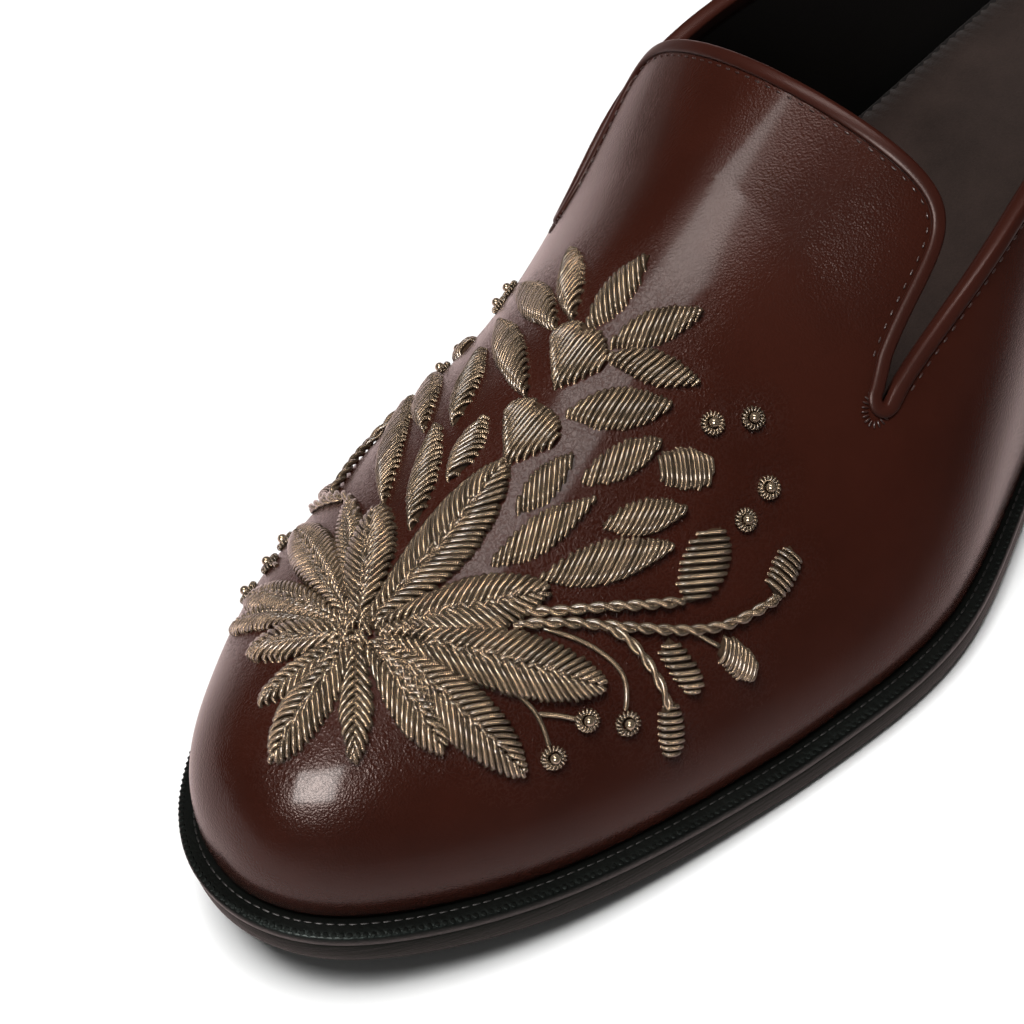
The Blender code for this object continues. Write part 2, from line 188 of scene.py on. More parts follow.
def lastAt(stations, share, side):
    # share runs from 0 at the welt to 1 at the crest
    stations = np.asarray(stations, float)
    share = np.asarray(share, float)
    ledge = read(undersideRows, "ledge", stations)
    footX, footY, inwardX, inwardY = edgeAt(stations, side, ledge)
    footZ = featherAt(footX) + shoe["footGap"]
    acrossX = edgeAt(stations, -side, ledge)[0]
    fan = unit(1 - alongAt(fold(stations)) / shoe["fanEnd"]) ** 2
    crestX = (footX + acrossX) / 2 + shoe["heelFan"] * fan
    crestY = read(archRows, "crest", stations)
    rise = read(archRows, "rise", stations)
    bulge = read(archRows, "bulge", stations)
    level = read(archRows, "top", stations)
    crestZ = footZ + rise
    sideZ = footZ + rise * read(archRows, "side", stations)
    w = ((1 - share) ** 3, 3 * share * (1 - share) ** 2, 3 * share**2 * (1 - share), share**3)
    x = w[0] * footX + w[1] * (footX - inwardX * bulge) + w[2] * (crestX + (footX - crestX) * level)
    y = w[0] * footY + w[1] * (footY - inwardY * bulge) + w[2] * (crestY + (footY - crestY) * level)
    z = w[0] * footZ + w[1] * sideZ + (w[2] + w[3]) * crestZ
    return np.stack([x + w[3] * crestX, y + w[3] * crestY, z], axis=-1)


def slopesAt(stations, share, side):
    # how far the last's surface runs lengthwise and upwards for each step of station and of share
    nudge = 1e-3
    lengthwise = lastAt(stations + nudge, share, side) - lastAt(stations - nudge, share, side)
    upward = lastAt(stations, share + nudge, side) - lastAt(stations, share - nudge, side)
    return lengthwise / (2 * nudge), upward / (2 * nudge)


def outwardAt(stations, share, side):
    lengthwise, upward = slopesAt(stations, share, side)
    normal = np.cross(upward, lengthwise) * np.asarray(side, float)[..., None]
    return normal / np.linalg.norm(normal, axis=-1, keepdims=True)


def shareAtHeight(stations, height, side):
    low = np.zeros_like(height)
    high = np.full_like(height, 0.95)
    for step in range(40):
        middle = (low + high) / 2
        below = lastAt(stations, middle, side)[..., 2] < height
        low = np.where(below, middle, low)
        high = np.where(below, high, middle)
    return (low + high) / 2


def archScale(stations, share, side):
    # millimetres for each whole share up the arch
    return np.linalg.norm(slopesAt(stations, share, side)[1], axis=-1)


def slitHalfGap(stations):
    radius = shoe["slitRadius"]
    back = np.clip(shoe["slit"] - alongAt(stations), 0, radius)
    return np.sqrt(radius**2 - (radius - back) ** 2)


def quarterTop(stations, side):
    stations = np.asarray(stations, float)
    share = shareAtHeight(stations, read(toplineRows, sideName(side), stations), side)
    slit = stationAt([shoe["slit"]])
    atSlit = shareAtHeight(slit, read(toplineRows, sideName(side), slit), side)
    nearness = unit(1 - (shoe["slit"] - alongAt(stations)) / shoe["slitBlend"]) ** 2
    share = share + (shoe["tongueFoot"] - atSlit) * nearness
    return share - slitHalfGap(stations) / archScale(stations, share, side)


def tonguePlace(across, back, side):
    # across is 0 at the crest and 1 at the side, back runs 0 to 1 towards the foot's opening
    across = np.asarray(across, float)
    back = np.asarray(back, float)
    power = shoe["cornerPower"]
    tiny = 1e-9
    reach = (across**power + back**power) ** (1 / power)
    rounding = np.maximum(np.maximum(across, back), tiny) / np.maximum(reach, tiny)
    across = across * rounding
    back = back * rounding
    end = shoe["tongueCrestEnd"] + (shoe["tongueSideEnd"] - shoe["tongueCrestEnd"]) * across**2
    waist = 1 - 4 * shoe["tongueWaist"] * back * (1 - back)
    stations = stationAt(shoe["slit"] + (end - shoe["slit"]) * back)
    foot = shoe["tongueFoot"] * np.ones_like(stations)
    foot = foot + slitHalfGap(stations) / archScale(stations, foot, side)
    return stations, 1 - (1 - foot) * across * waist


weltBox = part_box("welt")
planStations = np.linspace(0, 1, 2001)
middleY = (read(outlineRows, "medial", planStations).max() + read(outlineRows, "lateral", planStations).min()) / 2
middle = np.array([shoe["length"] / 2, middleY, 0])
frameCentre = np.array([(weltBox[0].x + weltBox[1].x) / 2, (weltBox[0].y + weltBox[1].y) / 2, 0])


def toWorld(points):
    return (np.asarray(points, float) - middle) * mm + frameCentre


def addMesh(name, mesh, materials):
    piece = bpy.data.objects.new(name, mesh)
    bpy.context.scene.collection.objects.link(piece)
    for material in materials:
        mesh.materials.append(material)
    mesh.shade_smooth()
    return piece


def gridFaces(builder, points, closed=False, wrap=False):
    corners = [[builder.verts.new(point) for point in row] for row in toWorld(points)]
    columns = len(corners[0])
    following = corners[1:] + (corners[:1] if wrap else [])
    for lower, upper in zip(corners, following):
        for start in range(columns if closed else columns - 1):
            after = (start + 1) % columns
            builder.faces.new((lower[start], lower[after], upper[after], upper[start]))


def closeUp(builder, name, materials):
    bmesh.ops.remove_doubles(builder, verts=builder.verts, dist=1e-6)
    bmesh.ops.dissolve_degenerate(builder, edges=builder.edges, dist=1e-7)
    bmesh.ops.recalc_face_normals(builder, faces=builder.faces)
    mesh = bpy.data.meshes.new(name)
    builder.to_mesh(mesh)
    builder.free()
    return addMesh(name, mesh, materials)


def applied(piece):
    # the evaluated shape becomes a plain mesh and the modifiers go
    depsgraph = bpy.context.evaluated_depsgraph_get()
    mesh = bpy.data.meshes.new_from_object(piece.evaluated_get(depsgraph))
    piece.modifiers.clear()
    old = piece.data
    piece.data = mesh
    mesh.name = piece.name
    bpy.data.meshes.remove(old)
    return piece


def rideOn(piece, slotName="", *nodes):
    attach(piece, "root")
    if nodes:
        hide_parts(*nodes)
    return piece


def addNode(tree, kind, links=None, **settings):
    # a node with its settings and what feeds each of its sockets: another socket or a plain value
    node = tree.nodes.new(kind)
    for key, value in settings.items():
        setattr(node, key, value)
    for socket, source in (links or {}).items():
        if isinstance(source, bpy.types.NodeSocket):
            tree.links.new(source, node.inputs[socket])
        else:
            node.inputs[socket].default_value = source
    return node


def calc(tree, operation, first, second=0.0, third=0.0):
    node = addNode(tree, "ShaderNodeMath", {0: first, 1: second, 2: third}, operation=operation)
    return node.outputs[0]


def noiseOf(tree, scale, detail, **sockets):
    # a noise in the piece's own space
    place = addNode(tree, "ShaderNodeTexCoord").outputs["Object"]
    noise = addNode(tree, "ShaderNodeTexNoise", {"Vector": place, "Scale": scale, "Detail": detail, **sockets})
    return noise.outputs["Fac"]


# noise scales per metre; the folds are the wrinkles of pulled leather
grainShape = {
    "warpScale": 900.0, "warpReach": 0.0003, "fineScale": 2600.0, "foldScale": 1400.0, "foldLevel": 0.06,
    "foldHeight": 12.0,
}


def makeGrainGroup():
    # fine leather grain: small pebbles split by hair creases, with pulled wrinkles where it is worked,
    # over a soft slow unevenness
    group = bpy.data.node_groups.new("leatherGrain", "ShaderNodeTree")
    for name, value in (("Size", 0.7), ("Crease", 0.5), ("Mottle size", 14.0), ("Worked", 0.0)):
        group.interface.new_socket(name, in_out="INPUT", socket_type="NodeSocketFloat").default_value = value
    for name in ("Height", "Mottle", "Valleys"):
        group.interface.new_socket(name, in_out="OUTPUT", socket_type="NodeSocketFloat")
    ins = group.nodes.new("NodeGroupInput").outputs
    outs = group.nodes.new("NodeGroupOutput").inputs
    place = addNode(group, "ShaderNodeTexCoord").outputs["Object"]
    warp = addNode(group, "ShaderNodeTexNoise", {"Vector": place, "Scale": grainShape["warpScale"], "Detail": 2.0})
    bent = addNode(group, "ShaderNodeVectorMath", {0: warp.outputs["Color"], 1: (grainShape["warpReach"],) * 3},
                   operation="MULTIPLY")
    moved = addNode(group, "ShaderNodeVectorMath", {0: place, 1: bent.outputs[0]}, operation="ADD")
    cells = addNode(group, "ShaderNodeTexVoronoi",
                    {"Vector": moved.outputs[0], "Scale": calc(group, "DIVIDE", 1000.0, ins["Size"])}, feature="F1")
    pebble = calc(group, "SUBTRACT", 1.0, cells.outputs["Distance"])
    fine = noiseOf(group, grainShape["fineScale"], 2.0)
    skin = calc(group, "MULTIPLY_ADD", fine, ins["Crease"], pebble)
    offMiddle = calc(group, "SUBTRACT", noiseOf(group, grainShape["foldScale"], 2.0), 0.5)
    # level on the whole, so that the mask leaves no step
    folds = calc(group, "SUBTRACT", calc(group, "ABSOLUTE", offMiddle), grainShape["foldLevel"])
    strength = calc(group, "MULTIPLY", ins["Worked"], grainShape["foldHeight"])
    valleys = addNode(group, "ShaderNodeMapRange",
                      {"Value": folds, "From Min": 0.0, "From Max": -grainShape["foldLevel"]})
    slow = noiseOf(group, calc(group, "DIVIDE", 1000.0, ins["Mottle size"]), 4.0)
    group.links.new(calc(group, "ADD", skin, calc(group, "MULTIPLY", folds, strength)), outs["Height"])
    group.links.new(calc(group, "MULTIPLY", valleys.outputs["Result"], ins["Worked"]), outs["Valleys"])
    group.links.new(slow, outs["Mottle"])
    return group


grainGroup = makeGrainGroup()


def newMaterial(name, colour, roughness, **sockets):
    material = bpy.data.materials.new(name)
    material.use_nodes = True
    shader = material.node_tree.nodes["Principled BSDF"]
    shader.inputs["Base Color"].default_value = (*colour, 1)
    shader.inputs["Roughness"].default_value = roughness
    for socket, value in sockets.items():
        shader.inputs[socket.replace("_", " ")].default_value = value
    material.diffuse_color = (*colour, 1)
    return material, material.node_tree, shader


def rampOf(tree, source, stops):
    ramp = addNode(tree, "ShaderNodeValToRGB", {"Fac": source})
    elements = ramp.color_ramp.elements
    while len(elements) < len(stops):
        elements.new(0.5)
    for element, (place, colour) in zip(elements, stops):
        element.position = place
        element.color = (*colour, 1)
    return ramp.outputs["Color"]


def shadeFrom(tree, shader, value, colour, low, high):
    # base colour between two tones of one colour; low and high are (place on the ramp, share of the colour)
    stops = [(place, tuple(c * share for c in colour)) for place, share in (low, high)]
    tree.links.new(rampOf(tree, value, stops), shader.inputs["Base Color"])


def bumpFrom(tree, shader, height, depth):
    # depth in millimetres
    bump = addNode(tree, "ShaderNodeBump", {"Height": height, "Distance": depth * mm, "Strength": 1.0})
    tree.links.new(bump.outputs["Normal"], shader.inputs["Normal"])


def leatherMaterial(name, look):
    material, tree, shader = newMaterial(
        name, look["colour"], look["roughness"], Coat_Weight=look["coat"], Coat_Roughness=look["coatRoughness"],
        Specular_IOR_Level=look["specular"], Specular_Tint=(*look.get("tint", (1, 1, 1)), 1))
    grain = addNode(tree, "ShaderNodeGroup", node_tree=grainGroup)
    grain.inputs["Size"].default_value = look["grain"]
    grain.inputs["Crease"].default_value = look["crease"]
    if look.get("worked"):    # dull valleys where the goldwork pulls the leather
        mask = addNode(tree, "ShaderNodeAttribute", attribute_name="worked")
        tree.links.new(mask.outputs["Fac"], grain.inputs["Worked"])
        for socket, change, plain in (("Roughness", look["dulling"], look["roughness"]),
                                      ("Coat Weight", -look["coat"], look["coat"])):
            value = calc(tree, "MULTIPLY_ADD", grain.outputs["Valleys"], change, plain)
            tree.links.new(value, shader.inputs[socket])
    height = grain.outputs["Height"]
    if look.get("layers"):    # fine level lines of a stacked and trimmed edge
        place = addNode(tree, "ShaderNodeTexCoord").outputs["Object"]
        flattened = addNode(tree, "ShaderNodeMapping", {"Vector": place, "Scale": (60.0, 60.0, 2200.0)})
        lines = addNode(tree, "ShaderNodeTexNoise", {"Vector": flattened.outputs[0], "Scale": 1.0, "Detail": 3.0})
        height = calc(tree, "MULTIPLY_ADD", lines.outputs["Fac"], look["layers"], height)
    shadeFrom(tree, shader, grain.outputs["Mottle"], look["colour"], (0.35, look["mottle"]), (0.65, 1))
    bumpFrom(tree, shader, height, look["depth"])
    return material


upperLook = {
    "colour": (0.034, 0.0084, 0.005), "roughness": 0.22, "coat": 0.18, "coatRoughness": 0.12, "specular": 0.13,
    "grain": 0.30, "crease": 0.9, "mottle": 0.82, "depth": 0.033, "worked": True, "dulling": 0.5,
    "tint": (1, 0.87, 0.83),
}
bindingLook = dict(upperLook, colour=(0.034, 0.0085, 0.0054), roughness=0.36, coat=0.06, coatRoughness=0.22,
                   depth=0.012, worked=False)
liningLook = {
    "colour": (0.006, 0.0055, 0.005), "roughness": 0.6, "coat": 0.0, "coatRoughness": 0.3, "specular": 0.25,
    "grain": 0.6, "crease": 0.4, "mottle": 0.8, "depth": 0.03,
}
weltLook = {
    "colour": (0.004, 0.004, 0.0035), "roughness": 0.42, "coat": 0.06, "coatRoughness": 0.2, "specular": 0.12,
    "grain": 0.9, "crease": 0.8, "mottle": 0.7, "depth": 0.05, "tint": (0.75, 1.0, 0.95),
}
soleEdgeLook = {
    "colour": (0.0058, 0.006, 0.0046), "roughness": 0.46, "coat": 0.0, "coatRoughness": 0.35, "specular": 0.08,
    "grain": 0.5, "crease": 0.9, "mottle": 0.75, "depth": 0.02, "layers": 4.0, "tint": (0.7, 1.0, 0.92),
}
upperLeather = leatherMaterial("oxbloodCalf", upperLook)
bindingLeather = leatherMaterial("foldedOxbloodCalf", bindingLook)
liningLeather = leatherMaterial("darkLining", liningLook)
weltLeather = leatherMaterial("waxedWelt", weltLook)
soleEdgeLeather = leatherMaterial("dyedSoleEdge", soleEdgeLook)


# upper: one hollow wall, calf outside and lining inside
upperMesh = {
    "quarterRows": 22, "vampRows": 26, "vampSections": 110, "quarterSections": 90, "tongueRows": 34,
    "rowPower": 1.1, "sectionPower": 0.97,
    "nearSlit": [0, 0.08, 0.2, 0.4, 0.7],    # close steps back from the slit's round end
}


def rowShares():
    foot = shoe["tongueFoot"]
    below = foot * np.linspace(0, 1, upperMesh["quarterRows"] + 1) ** upperMesh["rowPower"]
    above = foot + (1 - foot) * np.linspace(0, 1, upperMesh["vampRows"] + 1)
    return below, above


def acrossBothSides(medialPoints, lateralPoints):
    return np.concatenate([medialPoints, lateralPoints[-2::-1]])


def vampGrid():
    below, above = rowShares()
    shares = np.concatenate([below, above[1:]])
    first = float(stationAt(shoe["slit"]))
    places = first + (1 - first) * np.linspace(0, 1, upperMesh["vampSections"]) ** upperMesh["sectionPower"]
    return np.array([acrossBothSides(lastAt(place, shares, medial), lastAt(place, shares, lateral))
                     for place in places])


def quarterGrid(side):
    below = rowShares()[0] / shoe["tongueFoot"]
    radius = shoe["slitRadius"]
    ahead = shoe["slit"] - np.array([*upperMesh["nearSlit"], radius, 2, 3, 4])
    first = float(stationAt(ahead[-1]))
    stations = np.concatenate([stationAt(ahead), first * np.linspace(1, 0, upperMesh["quarterSections"])[1:]])
    tops = quarterTop(stations, side)
    return np.array([lastAt(place, top * below, side) for place, top in zip(stations, tops)])


def tongueGrid():
    across = (1 - rowShares()[1]) / (1 - shoe["tongueFoot"])
    reach = shoe["slit"] - shoe["tongueSideEnd"]
    start = np.array([*upperMesh["nearSlit"], shoe["slitRadius"]]) / reach
    backs = np.concatenate([start, np.linspace(start[-1], 1, upperMesh["tongueRows"])[1:]])
    return np.array([acrossBothSides(*(lastAt(*tonguePlace(across, back, side), side) for side in bothSides))
                     for back in backs])


def makeUpper():
    builder = bmesh.new()
    gridFaces(builder, vampGrid())
    gridFaces(builder, tongueGrid())
    for side in bothSides:
        gridFaces(builder, quarterGrid(side))
    piece = closeUp(builder, "upper_leather", [upperLeather, liningLeather])
    # the open surface faces away from the foot before it gets its thickness
    crown = max(piece.data.polygons, key=lambda face: face.center.z if face.center.x > 0.05 else 0)
    if crown.normal.z < 0:
        piece.data.flip_normals()
    shell = piece.modifiers.new("wall", "SOLIDIFY")
    shell.thickness = shoe["wall"] * mm
    shell.offset = -1
    shell.use_even_offset = shell.use_quality_normals = True
    shell.material_offset = shell.material_offset_rim = 1
    return rideOn(applied(piece), "upper_leather", "upper")


upper = makeUpper()
print("upper made:", len(upper.data.polygons), "faces")


# topline binding: a folded strip over the wall's edge, round the quarters, slits and tongue
bindingShape = {
    "width": 1.55,         # how far it reaches in from the edge
    "roll": 0.7,           # how far it stands past the wall's edge
    "thick": 0.48,         # leather over the outer face
    "quarterSteps": 150, "sideSteps": 44, "tongueSteps": 60, "slitSteps": 12,
    "quarterEnd": 4.0, "slitTurn": 80.0, "tongueSide": (0.17, 0.985), "crestPower": 1.15,
}


def rimPlaces():
    # station, share and side once round the opening's edge
    halves = []
    radius = shoe["slitRadius"]
    for side in bothSides:
        quarter = float(stationAt(shoe["slit"] - bindingShape["quarterEnd"])) * np.linspace(
            0, 1, bindingShape["quarterSteps"])
        tops = quarterTop(quarter, side)
        turn = np.radians(np.linspace(-1, 1, bindingShape["slitSteps"]) * bindingShape["slitTurn"])
        slit = stationAt(shoe["slit"] - radius * (1 - np.cos(turn)))
        scale = archScale(stationAt(shoe["slit"]), shoe["tongueFoot"], side)
        ends = shoe["tongueFoot"] + radius * np.sin(turn) / scale
        sideSteps, tongueSteps = bindingShape["sideSteps"], bindingShape["tongueSteps"]
        back = np.concatenate([np.linspace(*bindingShape["tongueSide"], sideSteps), np.ones(tongueSteps)])
        inward = np.linspace(0, 1, tongueSteps) ** bindingShape["crestPower"]
        across = np.concatenate([np.ones(sideSteps), 1 - inward])
        tongue, shares = tonguePlace(across, back, side)
        stations = np.concatenate([quarter, slit, tongue])
        share = np.concatenate([tops, ends, shares])
        halves.append(np.stack([stations, share, np.full(len(share), side)], axis=1))
    return np.concatenate([halves[0], halves[1][-2:0:-1]])


def onLast(places):
    # points and outward normals for rows of (station, share, side)
    points = np.zeros((len(places), 3))
    normals = np.zeros((len(places), 3))
    for side in bothSides:
        here = places[:, 2] == side
        points[here] = lastAt(places[here, 0], places[here, 1], side)
        normals[here] = outwardAt(places[here, 0], places[here, 1], side)
    return points, normals


def stepIn(places, directions, distance, steps=4):
    # the places that lie a distance away in a direction along the last's surface
    moved = places.copy()
    for step in range(steps):
        for side in bothSides:
            here = moved[:, 2] == side
            at, share = moved[here, 0], moved[here, 1]
            lengthwise, upward = slopesAt(at, share, side)
            want = directions[here] * distance / steps
            ll, uu = (lengthwise**2).sum(1), (upward**2).sum(1)
            lu = (lengthwise * upward).sum(1)
            lw, uw = (lengthwise * want).sum(1), (upward * want).sum(1)
            spread = ll * uu - lu**2
            moved[here, 0] = at + (lw * uu - uw * lu) / spread
            moved[here, 1] = share + (uw * ll - lw * lu) / spread
    return moved


rim = rimPlaces()
rimPoints, rimNormals = onLast(rim)
rimAlong = np.roll(rimPoints, -1, axis=0) - np.roll(rimPoints, 1, axis=0)
rimInward = np.cross(rimNormals, rimAlong)
rimInward /= np.linalg.norm(rimInward, axis=1, keepdims=True)


def bindingProfile():
    # (distance in from the edge, height off the outer surface) once round the folded strip
    width, roll, thick = bindingShape["width"], bindingShape["roll"], bindingShape["thick"]
    wall = shoe["wall"]
    outer = [(width, -0.1), (width, thick * 0.35), (width - 0.08, thick * 0.7), (width - 0.28, thick * 0.95),
             (width - 0.6, thick * 1.12), (width * 0.35, thick * 1.15)]
    depth = wall / 2 + thick
    turn = np.radians(np.linspace(90, -90, 13))
    edge = [(-roll * math.cos(a), -wall / 2 + depth * math.sin(a)) for a in turn]
    inner = [(width, -wall - thick), (width * 1.8, -wall - thick * 0.85), (width * 2, -wall + 0.1)]
    hidden = [(width, -wall + 0.15), (0.3, -wall / 2), (width * 0.6, -0.15)]
    return outer + edge + inner + hidden


def makeBinding():
    profile = bindingProfile()
    columns = []
    for distance, height in profile:
        if distance > 0:
            points, normals = onLast(stepIn(rim, rimInward, distance))
            columns.append(points + normals * height)
        else:
            columns.append(rimPoints + rimInward * distance + rimNormals * height)
    builder = bmesh.new()
    gridFaces(builder, np.stack(columns, axis=1), closed=True, wrap=True)
    piece = closeUp(builder, "topline_binding_leather", [bindingLeather])
    return rideOn(piece, "binding_leather", "topline_binding")


binding = makeBinding()
print("binding made:", len(binding.data.polygons), "faces")


def newTree(name, inputs):
    tree = bpy.data.node_groups.new(name, "GeometryNodeTree")
    tree.interface.new_socket("Geometry", in_out="INPUT", socket_type="NodeSocketGeometry")
    for socketName, kind in inputs:
        tree.interface.new_socket(socketName, in_out="INPUT", socket_type=kind)
    tree.interface.new_socket("Geometry", in_out="OUTPUT", socket_type="NodeSocketGeometry")
    return tree, tree.nodes.new("NodeGroupInput"), tree.nodes.new("NodeGroupOutput")


def endTree(tree, ins, outs, geometry):
    # every tree ends in real geometry with its material
    real = addNode(tree, "GeometryNodeRealizeInstances", {"Geometry": geometry})
    painted = addNode(tree, "GeometryNodeSetMaterial",
                      {"Geometry": real.outputs[0], "Material": ins.outputs["Material"]})
    tree.links.new(painted.outputs[0], outs.inputs[0])
    return tree


def placeCopies(tree, ins, outs, points, rotation):
    copy = addNode(tree, "GeometryNodeObjectInfo", {"Object": ins.outputs["Copy"], "As Instance": True})
    placed = addNode(tree, "GeometryNodeInstanceOnPoints",
                     {"Points": points, "Instance": copy.outputs["Geometry"], "Rotation": rotation})
    return endTree(tree, ins, outs, placed.outputs[0])


def stored(tree, geometry, name, value):
    node = addNode(tree, "GeometryNodeStoreNamedAttribute", {"Geometry": geometry, "Name": name, "Value": value},
                   data_type="FLOAT", domain="POINT")
    return node.outputs[0]


def makeThreadTree():
    # each run of edges becomes a round thread that remembers how far along and round it a point is
    tree, ins, outs = newTree("threadAlongPaths", [
        ("Radius", "NodeSocketFloat"), ("Sides", "NodeSocketInt"), ("Material", "NodeSocketMaterial")])
    curve = addNode(tree, "GeometryNodeMeshToCurve", {"Mesh": ins.outputs["Geometry"]})
    along = addNode(tree, "GeometryNodeSplineParameter")
    circle = addNode(tree, "GeometryNodeCurvePrimitiveCircle",
                     {"Resolution": ins.outputs["Sides"], "Radius": ins.outputs["Radius"]})
    tube = addNode(tree, "GeometryNodeCurveToMesh", {
        "Curve": stored(tree, curve.outputs[0], "alongThread", along.outputs["Length"]),
        "Profile Curve": stored(tree, circle.outputs["Curve"], "roundThread", along.outputs["Factor"]),
        "Fill Caps": True})
    return endTree(tree, ins, outs, tube.outputs[0])


def makeRepeatTree():
    # copies of one small object at even steps along each path, turned along it and standing off the surface
    tree, ins, outs = newTree("repeatAlongPaths", [
        ("Pitch", "NodeSocketFloat"), ("Copy", "NodeSocketObject"), ("Material", "NodeSocketMaterial")])
    curve = addNode(tree, "GeometryNodeMeshToCurve", {"Mesh": ins.outputs["Geometry"]})
    up = addNode(tree, "GeometryNodeInputNamedAttribute", {"Name": "up"}, data_type="FLOAT_VECTOR")
    steps = addNode(tree, "GeometryNodeCurveToPoints", {"Curve": curve.outputs[0], "Length": ins.outputs["Pitch"]},
                    mode="LENGTH")
    turn = addNode(tree, "FunctionNodeAxesToRotation",
                   {"Primary Axis": steps.outputs["Tangent"], "Secondary Axis": up.outputs[0]},
                   primary_axis="X", secondary_axis="Z")
    return placeCopies(tree, ins, outs, steps.outputs["Points"], turn.outputs[0])


def makeScatterTree():
    # one copy of a small object on each point, standing off the surface
    tree, ins, outs = newTree("copiesOnPoints", [("Copy", "NodeSocketObject"), ("Material", "NodeSocketMaterial")])
    points = addNode(tree, "GeometryNodeMeshToPoints", {"Mesh": ins.outputs["Geometry"]})
    up = addNode(tree, "GeometryNodeInputNamedAttribute", {"Name": "up"}, data_type="FLOAT_VECTOR")
    turn = addNode(tree, "FunctionNodeAlignRotationToVector", {"Vector": up.outputs[0]}, axis="Z")
    return placeCopies(tree, ins, outs, points.outputs[0], turn.outputs[0])


threadTree = makeThreadTree()
repeatTree = makeRepeatTree()
scatterTree = makeScatterTree()


def pathObject(name, paths, ups=None, closed=False):
    # each path is a row of shoe points and becomes a run of edges; single points stay points
    vertices, edges = [], []
    for path in paths:
        start = len(vertices)
        vertices.extend(toWorld(path).tolist())
        edges.extend((start + step, start + step + 1) for step in range(len(path) - 1))
        if closed:
            edges.append((start + len(path) - 1, start))
    mesh = bpy.data.meshes.new(name)
    mesh.from_pydata(vertices, edges, [])
    if ups is not None:
        attribute = mesh.attributes.new("up", "FLOAT_VECTOR", "POINT")
        attribute.data.foreach_set("vector", np.concatenate(ups).astype(np.float32).ravel())
    piece = bpy.data.objects.new(name, mesh)
    bpy.context.scene.collection.objects.link(piece)
    return piece


def grow(piece, tree, values):
    # puts a node tree on a path object, sets its named inputs and makes the result a plain mesh
    modifier = piece.modifiers.new(tree.name, "NODES")
    modifier.node_group = tree
    sockets = {item.name: item.identifier for item in tree.interface.items_tree if item.in_out == "INPUT"}
    for name, value in values.items():
        modifier[sockets[name]] = value
    applied(piece).data.shade_smooth()
    return piece


def sewAlong(name, paths, ups, row, material, slotName, closed=False):
    # repeats one small rounded thread along each path; a row has its size (length, width, height) and pitch
    bpy.ops.mesh.primitive_uv_sphere_add(segments=8, ring_count=6, radius=1)
    copy = bpy.context.object
    shape = Matrix.Diagonal((*(size / 2 * mm for size in row["size"]), 1))
    copy.data.transform(shape @ Matrix.Rotation(math.pi / 2, 4, "Y"))
    piece = pathObject(name, paths, ups, closed)
    grow(piece, repeatTree, {"Pitch": row["pitch"] * mm, "Copy": copy, "Material": material})
    bpy.data.objects.remove(copy)
    return rideOn(piece, slotName)


stitchLook = {
    "row": {"size": (0.90, 0.30, 0.26), "pitch": 1.95}, "inset": 2.05, "colour": (0.030, 0.0095, 0.007),
    # bar tacks round the end of each slit
    "tack": {"size": (0.30, 1.1, 0.26), "pitch": 0.6}, "ringRadius": 2.0, "ringTurn": 130.0, "ringAhead": 0.6,
}


def fibreMaterial(name, look, **sockets):
    # fine fibres that shade and roughen one colour
    material, tree, shader = newMaterial(name, look["colour"], look["roughness"], **sockets)
    fibres = noiseOf(tree, look["scale"], look["detail"])
    shadeFrom(tree, shader, fibres, look["colour"], look["low"], look["high"])
    bumpFrom(tree, shader, fibres, look["depth"])
    return material


threadLook = {
    "colour": stitchLook["colour"], "roughness": 0.3, "scale": 5000.0, "detail": 2.0, "low": (0.3, 0.6),
    "high": (0.7, 1.4), "depth": 0.03,
}


oxbloodThread = fibreMaterial("oxbloodThread", threadLook, Coat_Weight=0.15)


def slitRing(side):
    # a ring of places that bars the end of a slit
    radius = stitchLook["ringRadius"]
    turn = np.radians(np.linspace(-1, 1, 40) * stitchLook["ringTurn"])
    at = stationAt(shoe["slit"] + stitchLook["ringAhead"] + radius * np.cos(turn))
    scale = archScale(stationAt(shoe["slit"]), shoe["tongueFoot"], side)
    share = shoe["tongueFoot"] + radius * np.sin(turn) / scale
    return np.stack([at, share, np.full(len(at), side)], axis=1)


def makeStitches():
    # the row beside the binding, from one slit round the tongue to the other, and along both quarters
    points, normals = onLast(stepIn(rim, rimInward, stitchLook["inset"]))
    steps = bindingShape["quarterSteps"]
    slits = bindingShape["slitSteps"]
    total = len(rim)
    tongue = np.arange(steps + slits, total - steps - slits + 1)
    quarters = np.concatenate([np.arange(total - steps + 2, total), np.arange(0, steps)])
    rows = (tongue, quarters)
    sewAlong("topline_stitches", [points[row] + normals[row] * 0.05 for row in rows], [normals[row] for row in rows],
             stitchLook["row"], oxbloodThread, "binding_leather")
    rings = [onLast(slitRing(side)) for side in bothSides]
    sewAlong("slit_bar_stitches", [points + normals * 0.1 for points, normals in rings],
             [normals for points, normals in rings], stitchLook["tack"], oxbloodThread, "binding_leather")


makeStitches()
print("stitches made")


# welt: a ledge round the upper, its rim pressed into small ridges by a fudging wheel

weltShape = {
    "stations": 260, "thick": 2.0, "width": 9.0, "pathStations": 700,
    "ridge": {"size": (0.8, 0.9, 0.06), "pitch": 1.05}, "ridgeInset": 0.55, "ridgeSink": -0.03,
    "seam": {"size": (1.25, 0.32, 0.16), "pitch": 1.5}, "seamLedge": 0.72,    # share of the ledge in from the edge
}


def roundTheSole(count):
    # even steps once round the outsole's edge: stations and sides
    stations = np.linspace(0, 1, count)
    return [(stations, medial), (stations[-2:0:-1], lateral)]


def soleRings(profile, count, height):
    # rings of (inset, rise) round the outsole's edge, on a height that runs along the shoe
    rings = []
    for stations, side in roundTheSole(count):
        ring = []
        for inset, rise in profile:
            x, y = edgeAt(stations, side, inset)[:2]
            ring.append(np.stack([x, y, height(x) + rise], axis=1))
        rings.append(np.stack(ring, axis=1))
    return np.concatenate(rings)


